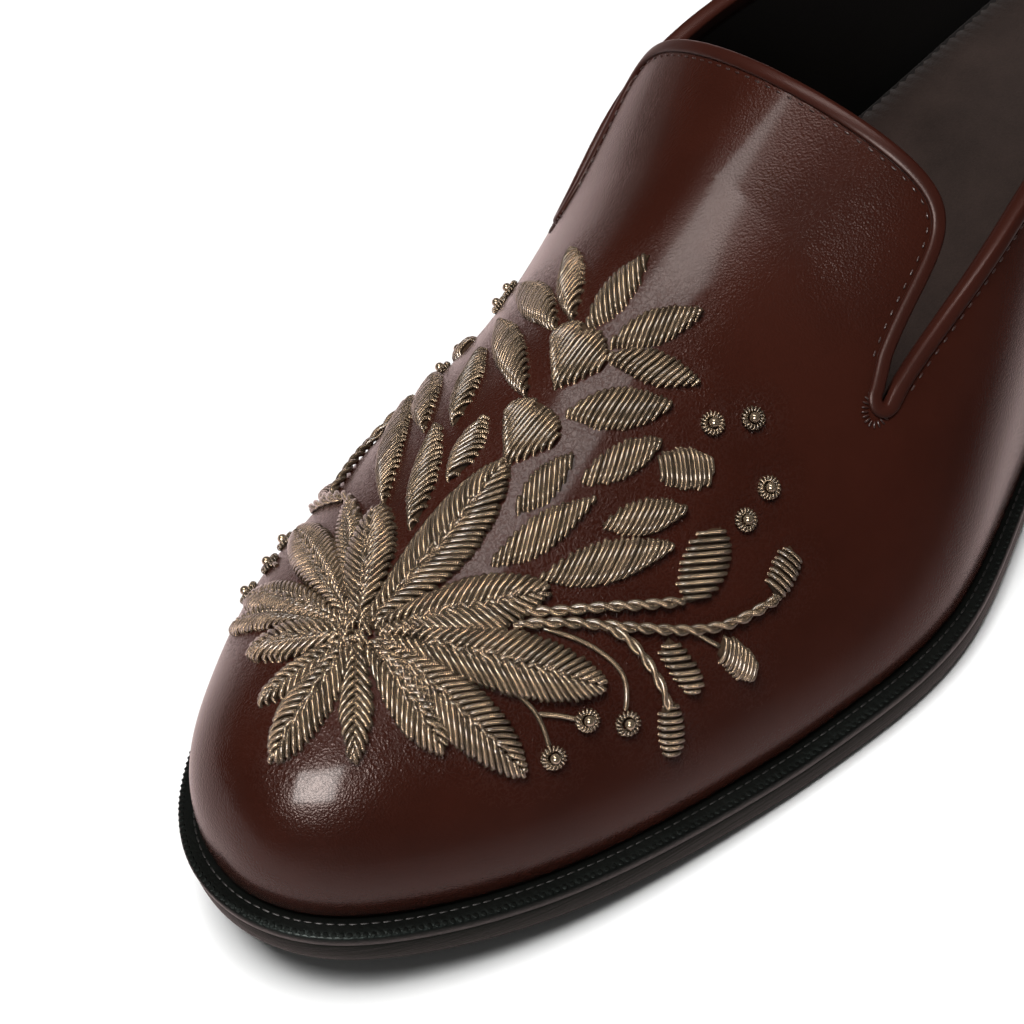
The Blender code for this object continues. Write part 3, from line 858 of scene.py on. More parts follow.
def makeWelt():
    thick, width = weltShape["thick"], weltShape["width"]
    profile = [(width, 0), (4.4, 0), (3.4, -0.12), (2.4, -0.04), (1.3, 0.0), (0.7, -0.03), (0.3, -0.2), (0.08, -0.55),
               (0.0, -1.0), (0.06, -thick + 0.15), (0.3, -thick), (width, -thick)]
    builder = bmesh.new()
    gridFaces(builder, soleRings(profile, weltShape["stations"], featherAt), closed=True, wrap=True)
    piece = closeUp(builder, "welt_leather", [weltLeather])
    return rideOn(piece, "welt_leather", "welt")


def sewWelt(name, inset, lift, row, material):
    # small threads once round on the welt, at an inset from the outsole's edge
    points = []
    for stations, side in roundTheSole(weltShape["pathStations"]):
        x, y = edgeAt(stations, side, inset(stations))[:2]
        points.append(np.stack([x, y, featherAt(x) + lift], axis=1))
    path = np.concatenate(points)
    sewAlong(name, [path], [np.tile((0.0, 0.0, 1.0), (len(path), 1))], row, material, "welt_leather", closed=True)


def makeWeltStitches():
    sewWelt("welt_rim_ridges", lambda at: weltShape["ridgeInset"], weltShape["ridgeSink"], weltShape["ridge"],
            weltLeather)
    sewWelt("welt_seam_stitches", lambda at: read(undersideRows, "ledge", at) * weltShape["seamLedge"], 0.0,
            weltShape["seam"], waxedThread)


waxedThread = fibreMaterial("waxedThread", dict(threadLook, colour=(0.007, 0.0065, 0.006), roughness=0.45),
                            Coat_Weight=0.15)
makeWelt()
makeWeltStitches()
print("welt made")


# outsole, heel and insole: plates built up in levels between the outline's two sides

plateShape = {"stations": 240, "columns": 15, "heelStations": 70, "heelBreast": 82.0, "breastHollow": 7.0}


def plateLevel(stations, inset, height, hollow=0.0):
    # one level of a plate as rows across the shoe
    across = np.linspace(0, 1, plateShape["columns"])
    reach = np.linspace(0, 1, len(stations))[:, None]
    bend = hollow * reach**2 * (1 - (2 * across - 1) ** 2)
    there = stationAt(np.maximum(alongAt(stations)[:, None] - bend, 0))
    inset = inset(there) if callable(inset) else inset
    nearX, nearY = edgeAt(there, medial, inset)[:2]
    farX, farY = edgeAt(there, lateral, inset)[:2]
    x = nearX + (farX - nearX) * across
    y = nearY + (farY - nearY) * across
    return np.stack([x, y, height(x)], axis=-1)


def boxFaces(builder, levels):
    # the lowest and highest level and the four sides between them
    pile = np.array(levels)
    for sheet in (pile[0], pile[-1], pile[:, :, 0], pile[:, :, -1], pile[:, 0], pile[:, -1]):
        gridFaces(builder, sheet)


def stackLevels(name, levels, material):
    # closes a pile of levels, lowest first, into one solid
    builder = bmesh.new()
    boxFaces(builder, levels)
    return closeUp(builder, name, [material])


def makePlate(name, stations, sides, base, material, hollow=0.0):
    # a plate from rows of (inset, rise) over a base height that runs along the shoe
    levels = [plateLevel(stations, inset, lambda x, rise=rise: base(x) + rise, hollow) for inset, rise in sides]
    return stackLevels(name, levels, material)


def makeOutsole():
    # a square-set edge with a wheeled line near its foot and a rounded lower corner
    stations = np.linspace(0, 1, plateShape["stations"])
    # inset and rise, from the foot up
    sides = [(2.6, 0.0), (1.5, 0.06), (0.95, 0.28), (0.72, 0.62), (0.66, 0.95), (0.86, 1.06), (0.86, 1.16),
             (0.42, 1.3), (0.3, 1.7), (0.22, 2.6), (0.2, 3.6), (0.26, 4.6), (0.34, 5.0), (0.5, 5.26), (1.2, 5.28)]
    return rideOn(makePlate("outsole_edge", stations, sides, undersideAt, soleEdgeLeather), "sole_leather", "outsole")


heelShape = {
    "topPiece": 6.0, "inset": 0.8, "taper": 1.4, "lifts": 4, "groove": 0.14, "grooveHalf": 0.12 / 14,
}


def makeHeel():
    breast = float(stationAt(plateShape["heelBreast"]))
    stations = breast * np.linspace(0, 1, plateShape["heelStations"])
    foot = heelShape["topPiece"] + shoe["fitGap"]

    def stackHeight(share):
        return lambda x: foot + (undersideAt(x) - shoe["fitGap"] - foot) * share

    def stackInset(share):
        return heelShape["inset"] + heelShape["taper"] * (1 - share)

    levels = []
    for lift in range(heelShape["lifts"]):
        low, high = lift / heelShape["lifts"], (lift + 1) / heelShape["lifts"]
        half = heelShape["grooveHalf"]    # a share of the stack's height
        rows = [(low, 1), (low + half, 0.3), (low + 2 * half, 0), (high - 2 * half, 0), (high - half, 0.3)]
        for share, groove in rows:
            inset = stackInset(share) + heelShape["groove"] * groove
            levels.append(plateLevel(stations, inset, stackHeight(share), plateShape["breastHollow"]))
    levels.append(plateLevel(stations, heelShape["inset"] + 0.3, stackHeight(1.0), plateShape["breastHollow"]))
    stack = stackLevels("heel_lifts", levels, heelLeather)
    rideOn(stack, "heel_leather", "heel_stack")
    edge = heelShape["inset"] + heelShape["taper"] + 0.3
    sides = [(edge + 1.0, 0.0), (edge + 0.4, 0.15), (edge + 0.12, 0.5), (edge, 1.0), (edge, 5.3), (edge + 0.1, 5.8),
             (edge + 0.4, heelShape["topPiece"])]
    rubber = makePlate("heel_rubber", stations, sides, np.zeros_like, heelRubber, plateShape["breastHollow"])
    rideOn(rubber, "heel_rubber", "heel_top_piece")


heelLook = dict(soleEdgeLook, colour=(0.010, 0.009, 0.008), roughness=0.3, coat=0.4)
heelLeather = leatherMaterial("polishedHeelLeather", heelLook)
rubberLook = {
    "colour": (0.008, 0.008, 0.008), "roughness": 0.62, "coat": 0.0, "coatRoughness": 0.3, "specular": 0.4,
    "grain": 0.5, "crease": 1.2, "mottle": 0.8, "depth": 0.05,
}
heelRubber = leatherMaterial("blackHeelRubber", rubberLook)
makeOutsole()
makeHeel()
print("outsole and heel made")


insoleShape = {
    "clearance": 1.0, "thick": 3.0, "sockInset": 5.2, "tooth": 0.9, "toothPitch": 2.1, "sockThick": 0.6,
    "sockStep": 0.75, "sockSpan": (0.004, 0.996), "sockDish": 0.25, "sockLift": 0.02,
}


def boardTop(x):
    return featherAt(x) + shoe["fitGap"] + insoleShape["thick"]


def makeInsole():
    stations = np.linspace(0, 1, plateShape["stations"])

    def inset(extra):
        return lambda at: read(undersideRows, "ledge", at) + shoe["wall"] + insoleShape["clearance"] + extra

    thick = insoleShape["thick"]
    sides = [(0.3, -thick), (0.0, -thick + 0.3), (0.0, -0.4), (0.12, -0.12), (0.5, 0.0)]
    sides = [(inset(extra), rise) for extra, rise in sides]
    return rideOn(makePlate("insole_board", stations, sides, boardTop, insoleSuede), "insole_suede", "insole")


def makeSock():
    # a thin suede sheet on the board, its edge pinked into small teeth
    fine = np.linspace(0, 1, 3000)
    run = runOf(np.column_stack(edgeAt(fine, medial, insoleShape["sockInset"])[:2]))
    count = int(run[-1] / insoleShape["sockStep"])
    stations = np.interp(np.linspace(*insoleShape["sockSpan"], count) * run[-1], run, fine)
    dish = insoleShape["sockDish"] * (2 * np.linspace(0, 1, plateShape["columns"]) - 1) ** 2

    def pinked(at):
        teeth = np.interp(at, fine, run) / insoleShape["toothPitch"]
        return insoleShape["sockInset"] + np.abs(teeth % 1 * 2 - 1) * insoleShape["tooth"]

    low = plateLevel(stations, pinked, lambda x: boardTop(x) + insoleShape["sockLift"])
    high = plateLevel(stations, pinked, lambda x: boardTop(x) + insoleShape["sockThick"] + dish)
    return rideOn(stackLevels("insole_sock", [low, high], sockSuede), "insole_suede")


def suedeMaterial(name, colour, depth):
    material, tree, shader = newMaterial(name, colour, 0.92, Sheen_Weight=0.12, Sheen_Roughness=0.5,
                                         Sheen_Tint=(0.75, 0.7, 0.68, 1), Specular_IOR_Level=0.15)
    nap = noiseOf(tree, 2400.0, 4.0, Roughness=0.7)
    brushed = noiseOf(tree, 90.0, 5.0, Roughness=0.6)
    both = calc(tree, "MULTIPLY_ADD", nap, 0.45, calc(tree, "MULTIPLY", brushed, 0.55))
    shadeFrom(tree, shader, both, colour, (0.32, 0.62), (0.68, 1.35))
    bumpFrom(tree, shader, nap, depth)
    return material


insoleSuede = suedeMaterial("insoleSuede", (0.012, 0.010, 0.0095), 0.10)
sockSuede = suedeMaterial("sockSuede", (0.021, 0.0135, 0.0112), 0.14)
makeInsole()
makeSock()
print("insole made")


# goldwork on the vamp, laid out in millimetres forward of the flower's middle along the crest
# and across from the crest, more to the inner side

chartShape = {"flowerArc": 164.9, "from": 120.0, "to": 297.6, "reach": 70.0, "step": 0.5}


def makeChart():
    stations = np.linspace(float(stationAt(chartShape["from"])), float(stationAt(chartShape["to"])), 420)
    crest = lastAt(stations, np.ones(len(stations)), medial)
    run = runOf(crest)
    shares = np.linspace(1, 0, 180)
    reaches = np.arange(0, chartShape["reach"] + 0.01, chartShape["step"])
    tables = {}
    for side in bothSides:
        points = lastAt(stations[:, None], shares[None, :] + 0 * stations[:, None], side)
        steps = np.linalg.norm(np.diff(points, axis=1), axis=2)
        arcs = np.concatenate([np.zeros((len(stations), 1)), np.cumsum(steps, axis=1)], axis=1)
        tables[side] = np.array([np.interp(reaches, row, shares) for row in arcs])
    return stations, run - chartShape["flowerArc"], tables


chartStations, chartForward, chartShares = makeChart()


def onVamp(places):
    # places are rows of (forward, across); gives points on the leather and outward normals
    row = np.interp(places[:, 0], chartForward, np.arange(len(chartForward)))
    column = np.clip(np.abs(places[:, 1]) / chartShape["step"], 0, chartShares[medial].shape[1] - 1.001)
    low, left = np.minimum(row.astype(int), len(chartForward) - 2), column.astype(int)
    up, right = row - low, column - left
    side = np.where(places[:, 1] >= 0, medial, lateral)
    share = np.zeros(len(places))
    for hand in bothSides:
        shares = chartShares[hand]
        here = side == hand
        a, b, c, d = low[here], left[here], up[here], right[here]
        share[here] = (shares[a, b] * (1 - c) * (1 - d) + shares[a + 1, b] * c * (1 - d)
                       + shares[a, b + 1] * (1 - c) * d + shares[a + 1, b + 1] * c * d)
    stations = np.interp(places[:, 0], chartForward, chartStations)
    return onLast(np.stack([stations, np.clip(share, 0, 0.999), side], axis=1))


goldwork = {
    # threads: their tops rest above the leather and both ends sink into it
    "threadRadius": 0.37, "fineRadius": 0.92, "sides": 8, "ringSides": 5, "points": 9,
    "rest": 0.38, "sink": -0.18, "endRun": 0.30, "unevenness": 0.05,
    # spacing, puff of the padding, and the angles of the threads to each motif's axis
    "petalPitch": 0.80, "leafPitch": 0.70, "heartPitch": 0.62, "budPitch": 0.80,
    "petalPuff": 1.05, "leafPuff": 0.75, "heartPuff": 0.8, "budPuff": 0.6, "petalLift": 0.1,
    "barbStart": 50.0, "barbEnd": 36.0, "barbStep": 0.16, "innerLean": 44.0, "outerLean": 40.0,
    # twisted stems and thin stalks
    "ropePitch": 6.0, "ropeReach": 0.36, "ropeRadius": 0.43, "ropeStep": 0.45, "ropeHeight": 0.62, "ropeEnd": 0.2,
    "stalkRadius": 0.37, "stalkStep": 0.5, "stalkHeight": 0.25,
    # berries, and how far round the goldwork the leather is pulled
    "ringRadius": 1.28, "ringWire": 0.20, "ringCoil": 0.36, "ringTurns": 17, "ringSlant": 0.18, "ringHeight": 0.42,
    "beadRadius": 0.72, "beadHeight": 1.0, "pull": 7.0,
}


def frameOf(base, tip):
    base, tip = np.array(base, float), np.array(tip, float)
    length = float(np.linalg.norm(tip - base))
    ahead = (tip - base) / length
    return base, length, ahead, np.array([-ahead[1], ahead[0]])


def petalFrame(tip, length):
    # petals point away from the flower's middle
    tip = np.array(tip, float)
    return frameOf(tip - tip / np.linalg.norm(tip) * length, tip)


def thread(along, cross, heights, base, ahead, aside):
    # a row of (forward, across, height) from places in a motif's own frame
    flat = base + np.outer(along, ahead) + np.outer(cross, aside)
    return np.column_stack([flat, heights])


def spread(length, count):
    # places along a thread, closer at both ends where it turns down into the leather
    run = goldwork["endRun"]
    return np.concatenate([[0], np.linspace(run, length - run, count - 2), [length]])


# half widths along a motif's axis: width at the root, place where it is widest, whether it swells as a wave,
# powers of the swelling and the closing, how blunt the tip is and the power of its rounding
bulges = {
    "petal": (0.26, 0.58, True, 1.3, 1.9, 0, 0.7),
    "heart": (0, 0.64, False, 0.85, 2.2, 0, 0.5),
    "drop": (0.40, 0.5, True, 1, 2, 0.14, 0.5),
}


def bulgeHalf(kind):
    root, widest, wave, swell, close, blunt, rounding = bulges[kind]

    def half(share, width):
        rising = unit(share / widest)
        if wave:
            rising = np.sin(math.pi / 2 * rising)
        closing = np.clip(1 - unit((share - widest) / (1 - widest)) ** close, blunt, 1)
        return width / 2 * (root + (1 - root) * rising**swell) * closing**rounding

    return half


petalHalf = bulgeHalf("petal")


def offAxis(cross, half):
    # 0 on the axis and 1 at the edge
    return unit(np.abs(cross) / np.maximum(half, 0.05))


def lobes(share, cross, half):
    # two puffed lobes with a furrow between them, which closes before the tip
    x = offAxis(cross, half)
    ends = np.clip(share / 0.1, 0.35, 1) * unit((1 - share) / 0.12) ** 0.5
    merge = unit((share - 0.68) / 0.2)
    twin = unit(1 - (2 * x**0.85 - 1) ** 2) ** 0.6
    return (twin * (1 - merge) + 0.85 * np.sqrt(1 - x**2) * merge) * ends


def petalThreads(tip, length, width, furrow, lift):
    # herringbone: from the vein outwards, turning towards the tip
    base, length, ahead, aside = petalFrame(tip, length)
    puff = goldwork["petalPuff"] * min(1.0, 0.35 + width / 11)
    threads = []
    step = goldwork["petalPitch"] / math.sin(math.radians(goldwork["barbStart"]))
    for side in (1, -1):
        start = step * (0.3 if side > 0 else 0.8)
        while start < length - 0.6:
            along, cross = [start], [(0.12 if furrow else -0.1) * side]
            for move in range(90):
                share = along[-1] / length
                half = petalHalf(share, width)
                x = min(1.0, abs(cross[-1]) / max(half, 0.05))
                turn = math.radians(goldwork["barbStart"] + (goldwork["barbEnd"] - goldwork["barbStart"]) * x)
                turn *= 1 - 0.7 * max(0, share - 0.66) / 0.34
                along.append(along[-1] + goldwork["barbStep"] * math.cos(turn))
                cross.append(cross[-1] + goldwork["barbStep"] * side * math.sin(turn))
                if abs(cross[-1]) > petalHalf(min(along[-1] / length, 1), width) or along[-1] > length:
                    break
            along, cross = np.array(along), np.array(cross)
            run = runOf(np.column_stack([along, cross]))
            if run[-1] > 0.9:
                reach = run[-1] + rng.uniform(-0.15, 0.55)
                at = spread(reach, goldwork["points"])
                along = np.interp(at, run, along) + unit(at - run[-1]) * 0.9
                cross = np.interp(at, run, cross)
                half = petalHalf(np.clip(along / length, 0, 0.97), width)
                heights = lift + goldwork["rest"] + puff * lobes(along / length, cross, half)
                heights += rng.uniform(-0.5, 1) * goldwork["unevenness"]
                heights[0] = lift + 0.3
                heights[-1] = goldwork["sink"]
                threads.append(thread(along, cross, heights, base, ahead, aside))
            start += step * rng.uniform(0.94, 1.06) * (1 + 0.6 * max(0, start / length - 0.66) / 0.34)
    return threads


def veinChips(tip, length, lift):
    # short twisted bits laid in the furrow of the long petals
    base, length, ahead, aside = petalFrame(tip, length)
    chips = []
    at = length * 0.22
    flip = 1
    while at < length * 0.82:
        slant = math.radians(rng.uniform(8, 34)) * flip
        reach = rng.uniform(2.0, 3.1)
        q = np.linspace(-reach / 2, reach / 2, 7)
        bow = 1 - (2 * q / reach) ** 2
        heights = lift + 0.45 + rng.uniform(0.75, 0.95) * bow**0.6
        along = at + q * math.cos(slant)
        cross = q * math.sin(slant) + rng.uniform(-0.3, 0.3) + 0.25 * bow * flip
        chips.append(thread(along, cross, heights, base, ahead, aside))
        at += rng.uniform(0.8, 1.3)
        flip = -flip
    return chips


def leafHalf(share, width):
    return width / 2 * np.sin(math.pi * unit(share) ** 0.94) ** 0.95


def heartTop(cross, width):
    # the notch between the two lobes
    x = unit(2 * np.abs(cross) / width)
    return 0.80 + 0.2 * np.sin(math.pi * unit(x * 1.05)) ** 0.8


def barrelHalf(share, width):
    return width / 2 * (0.66 + 0.34 * np.sin(math.pi * unit(share)))


outlines = {"leaf": leafHalf, "heart": bulgeHalf("heart"), "drop": bulgeHalf("drop"), "barrel": barrelHalf}


def dome(share, cross, half):
    ends = unit(1 - np.abs(2 * share - 1) ** 5) ** 0.5
    return np.sqrt(1 - offAxis(cross, half) ** 2) * ends


def satinThreads(kind, tip, base, width, lean, pitch, puff):
    # parallel threads from edge to edge of an outline, leaning to its axis
    base, length, ahead, aside = frameOf(base, tip)
    lean = math.radians(lean)
    slope = (math.cos(lean), math.sin(lean))
    reach = length + width
    q = np.linspace(-reach, reach, 700)
    threads = []
    for row in np.arange(-reach, reach, pitch):
        row += rng.uniform(-0.06, 0.06)
        a = length / 2 + q * slope[0] - row * slope[1]
        c = q * slope[1] + row * slope[0]
        inside = (a > 0) & (a < length) & (np.abs(c) < outlines[kind](a / length, width))
        if kind == "heart":
            inside &= a < length * heartTop(c, width)
        if inside.sum() < 2:
            continue
        first, last = q[inside][0] - rng.uniform(0, 0.4), q[inside][-1] + rng.uniform(0, 0.4)
        if last - first < 0.75:
            continue
        at = first + spread(last - first, goldwork["points"])
        a = length / 2 + at * slope[0] - row * slope[1]
        c = at * slope[1] + row * slope[0]
        half = outlines[kind](a / length, width)
        heights = goldwork["rest"] + puff * dome(unit(a / length), c, half)
        heights += rng.uniform(-0.5, 1) * goldwork["unevenness"]
        heights[[0, -1]] = goldwork["sink"]
        threads.append(thread(a, c, heights, base, ahead, aside))
    return threads


def smoothPath(points, step):
    # even steps along a soft curve through a few places
    points = np.array(points, float)
    runs = runOf(points)
    at = np.linspace(0, runs[-1], max(4, int(runs[-1] / step)))
    rows = {str(column): points[:, column] for column in range(points.shape[1])}
    bends = [naturalSpline(rows, column, runs, at) for column in rows]
    splineBends.clear()
    return np.column_stack(bends), at


def ropeThreads(points):
    # two strands twisted round each other
    path, at = smoothPath(points, goldwork["ropeStep"])
    ahead = np.gradient(path, axis=0)
    ahead /= np.linalg.norm(ahead, axis=1, keepdims=True)
    aside = np.column_stack([-ahead[:, 1], ahead[:, 0]])
    strands = []
    for phase in (0, math.pi):
        turn = at / goldwork["ropePitch"] * 2 * math.pi + phase
        reach = goldwork["ropeReach"] * np.clip(np.minimum(at, at[-1] - at) / 1.0, 0.3, 1)
        flat = path + aside * (reach * np.cos(turn))[:, None]
        heights = goldwork["ropeHeight"] + reach * np.sin(turn)
        heights[[0, -1]] = goldwork["ropeEnd"]
        strands.append(np.column_stack([flat, heights]))
    return strands


def stalkThread(points):
    path = smoothPath(points, goldwork["stalkStep"])[0]
    heights = np.full(len(path), goldwork["stalkHeight"])
    heights[[0, -1]] = 0.0
    return np.column_stack([path, heights])


def ringThread(middle, size):
    # a wire wound round a small ring
    turns = goldwork["ringTurns"]
    turn = np.linspace(0, 2 * math.pi, turns * 9)
    coil = turn * turns
    reach = goldwork["ringRadius"] * size + goldwork["ringCoil"] * np.cos(coil)
    slant = -goldwork["ringSlant"] * np.sign(middle[1])    # pulled a little oval on the slope of the vamp
    flat = np.array(middle) + np.column_stack([reach * (np.cos(turn) + slant * np.sin(turn)),
                                               reach * (slant * np.cos(turn) + np.sin(turn))])
    return np.column_stack([flat, goldwork["ringHeight"] + goldwork["ringCoil"] * np.sin(coil)])


workedPlaces = []


def layThreads(name, threads, radius, material, sides=0):
    # sets threads of (forward, across, height) on the leather and gives them their round body
    rows = np.concatenate(threads)
    points, normals = onVamp(rows[:, :2])
    points = points + normals * rows[:, 2:3]
    workedPlaces.append(points)
    cuts = np.cumsum([len(row) for row in threads])[:-1]
    piece = pathObject(name, np.split(points, cuts))
    tones = np.concatenate([np.full(len(row), rng.uniform()) for row in threads])
    tone = piece.data.attributes.new("tone", "FLOAT", "POINT")
    tone.data.foreach_set("value", tones.astype(np.float32))
    grow(piece, threadTree, {"Radius": radius * mm, "Sides": sides or goldwork["sides"], "Material": material})
    return rideOn(piece)


# flower petals: tip, length, width and whether twisted bits lie in the furrow
petals = [
    ((-30.6, 0.5), 29.0, 8.4, True), ((-22.7, 15.8), 25.5, 6.8, True), ((-21.8, 30.3), 34.5, 7.2, True),
    ((-6.3, 29.2), 27.5, 6.8, True), ((0.9, 19.0), 17.2, 6.2, True), ((10.9, 11.5), 14.5, 4.0, False),
    ((19.1, 3.4), 18.2, 6.2, True), ((14.9, -4.0), 14.8, 3.9, False), ((10.1, -13.3), 15.8, 5.8, True),
    ((7.2, -26.6), 26.5, 4.0, False), ((2.6, -29.1), 27.8, 5.0, True), ((-10.6, -32.7), 32.0, 6.5, True),
    ((-16.7, -23.7), 27.0, 4.1, False), ((-16.4, -14.5), 20.5, 7.4, True),
]

# satin leaves: tip, base and width, those of the inner side first
innerLeaves = [
    ((-65.9, 0.8), (-52.2, -0.5), 4.3), ((-65.5, 12.0), (-52.3, 3.7), 4.0), ((-58.5, 17.3), (-50.9, 4.5), 4.0),
    ((-53.3, 16.0), (-40.8, 3.9), 4.8), ((-48.8, 17.4), (-35.7, 10.7), 3.8), ((-37.6, 8.1), (-26.2, 5.8), 3.8),
    ((-35.7, 13.8), (-18.7, 7.4), 4.0), ((-45.8, 25.6), (-34.0, 16.6), 3.7), ((-41.0, 26.8), (-22.7, 13.8), 4.4),
]
outerLeaves = [
    ((-64.7, -16.0), (-52.6, -3.7), 4.2), ((-60.5, -27.7), (-50.4, -5.3), 5.0), ((-52.4, -23.4), (-39.6, -2.9), 4.8),
    ((-46.2, -20.9), (-31.9, -12.5), 4.4), ((-34.5, -7.3), (-24.2, -5.9), 4.0), ((-45.4, -38.6), (-30.2, -19.0), 4.8),
    ((-31.4, -16.0), (-15.6, -5.6), 4.2), ((-40.8, -40.2), (-17.1, -14.0), 4.8),
]

# hearts and buds: outline, tip, base, width and how far the threads turn from the axis
buds = [
    ("heart", (-40.0, 0.0), (-30.6, 0.6), 9.6, -8), ("heart", (-52.8, -0.4), (-43.0, 0.3), 10.0, -8),
    ("barrel", (-52.1, 25.6), (-46.0, 19.0), 4.2, -83), ("drop", (-48.4, 32.3), (-38.0, 31.9), 6.8, -39),
    ("barrel", (-56.4, 43.2), (-50.3, 43.5), 4.2, -75), ("barrel", (-41.6, 48.2), (-38.8, 41.0), 3.4, -78),
    ("barrel", (-32.8, 42.0), (-31.8, 33.6), 3.3, 42), ("barrel", (-25.3, 45.3), (-27.9, 39.6), 3.7, 73),
    ("barrel", (-52.1, -40.6), (-51.0, -35.8), 4.0, 90), ("barrel", (-46.5, -60.0), (-44.0, -54.0), 4.4, 90),
    ("drop", (-40.0, -52.5), (-35.5, -46.0), 5.4, 60), ("barrel", (-27.0, -56.0), (-25.0, -50.5), 4.2, 90),
]

# twisted stems, thin stalks and berries
ropes = [
    [(-17.7, 14.5), (-22.2, 18.7), (-27.0, 22.9), (-31.9, 27.4), (-37.4, 32.3)],
    [(-16.1, 15.0), (-21.3, 19.7), (-25.6, 24.3), (-31.2, 30.5), (-36.1, 35.6), (-42.0, 40.3), (-47.2, 43.1),
     (-50.3, 44.6)],
    [(-25.6, 24.3), (-27.5, 28.3), (-28.2, 32.6), (-28.2, 36.6), (-27.6, 40.0)],
    [(-18.4, -33.6), (-21.9, -36.1), (-30.2, -43.2), (-35.4, -46.6), (-41.0, -50.5), (-44.0, -54.5)],
    [(-12.9, -15.6), (-15.1, -19.3), (-17.1, -26.9), (-17.4, -34.3), (-20.0, -42.0), (-25.0, -50.5)],
    [(-16.7, -26.2), (-16.5, -34.4), (-16.6, -40.9)],
    [(-39.8, -39.1), (-35.4, -41.6), (-30.2, -43.2)],
]
stalks = [
    [(-19.1, 18.5), (-22.1, 23.4), (-24.0, 28.0), (-24.3, 31.8), (-22.4, 34.6)],
    [(-10.2, 18.2), (-11.1, 21.6), (-11.6, 24.9), (-11.2, 27.6), (-10.8, 29.2)],
    [(-12.0, 25.2), (-14.2, 27.6), (-15.9, 29.8)],
    [(-36.1, 35.6), (-37.4, 38.4), (-38.7, 40.9)],
    [(-4.0, -30.0), (-4.6, -33.0)], [(-9.0, -34.0), (-10.0, -38.5)],
]
berries = [
    (-56.3, 22.0), (-61.7, 26.4), (-58.0, 34.1), (-52.3, 33.8), (-17.0, 31.0), (-21.6, 36.1), (-10.5, 30.7),
    (-66.7, -44.8), (-62.8, -42.6), (-53.1, -43.2), (-47.3, -40.2), (-10.1, -40.0), (-4.7, -34.6), (-0.5, -37.6),
]


def bullionMaterial(name, look):
    # fine wire coiled close: metal with a rib across the thread and a tone of its own for each thread
    material, tree, shader = newMaterial(name, look["colour"], look["roughness"], Metallic=look["metal"],
                                         Coat_Weight=look["coat"], Coat_Roughness=look["coatRoughness"])
    tone = addNode(tree, "ShaderNodeAttribute", attribute_name="tone").outputs["Fac"]
    along = addNode(tree, "ShaderNodeAttribute", attribute_name="alongThread").outputs["Fac"]
    tarnish = noiseOf(tree, 420.0, 3.0)
    mixed = calc(tree, "MULTIPLY_ADD", tarnish, 0.6, calc(tree, "MULTIPLY", tone, 0.4))
    shadeFrom(tree, shader, mixed, look["colour"], (0.3, look["dark"]), (0.62, 1))
    wound = calc(tree, "SINE", calc(tree, "MULTIPLY", along, 2 * math.pi / (look["coilPitch"] * mm)))
    bumpFrom(tree, shader, wound, look["coilDepth"])
    return material


bullionLook = {
    "colour": (0.25, 0.184, 0.12), "dark": 0.52, "roughness": 0.22, "metal": 0.72, "coat": 1.0,
    "coatRoughness": 0.13, "coilPitch": 0.27, "coilDepth": 0.034,
}
beadLook = dict(bullionLook, colour=(0.56, 0.43, 0.29), roughness=0.14, coilDepth=0.0)
bullion = bullionMaterial("antiqueBullion", bullionLook)
beadMetal = bullionMaterial("antiqueBeads", beadLook)
paddingLook = {
    "colour": (0.055, 0.032, 0.018), "roughness": 0.9, "scale": 3000.0, "detail": 3.0, "low": (0.35, 0.5),
    "high": (0.65, 1), "depth": 0.05,
}
feltPadding = fibreMaterial("feltPadding", paddingLook, Specular_IOR_Level=0.1)


def paddingGrid(builder, tip, base, width, halfAt, domeAt, puff):
    # a low pad under one motif, closed below the leather's face
    base, length, ahead, aside = frameOf(base, tip)
    shares = 0.5 - 0.5 * np.cos(np.linspace(0.06, math.pi - 0.06, 22))
    sideways = np.linspace(-1, 1, 13)
    half = halfAt(shares, width)[:, None] * 0.93
    along = np.repeat(shares[:, None] * length, len(sideways), axis=1)
    cross = half * sideways
    flat = base + along[..., None] * ahead + cross[..., None] * aside
    points, normals = onVamp(flat.reshape(-1, 2))
    high = puff * domeAt(along / length, cross, half) + 0.05
    levels = [(points + normals * height.reshape(-1, 1)).reshape(*along.shape, 3)
              for height in (np.full_like(high, -0.3), high)]
    boxFaces(builder, levels)


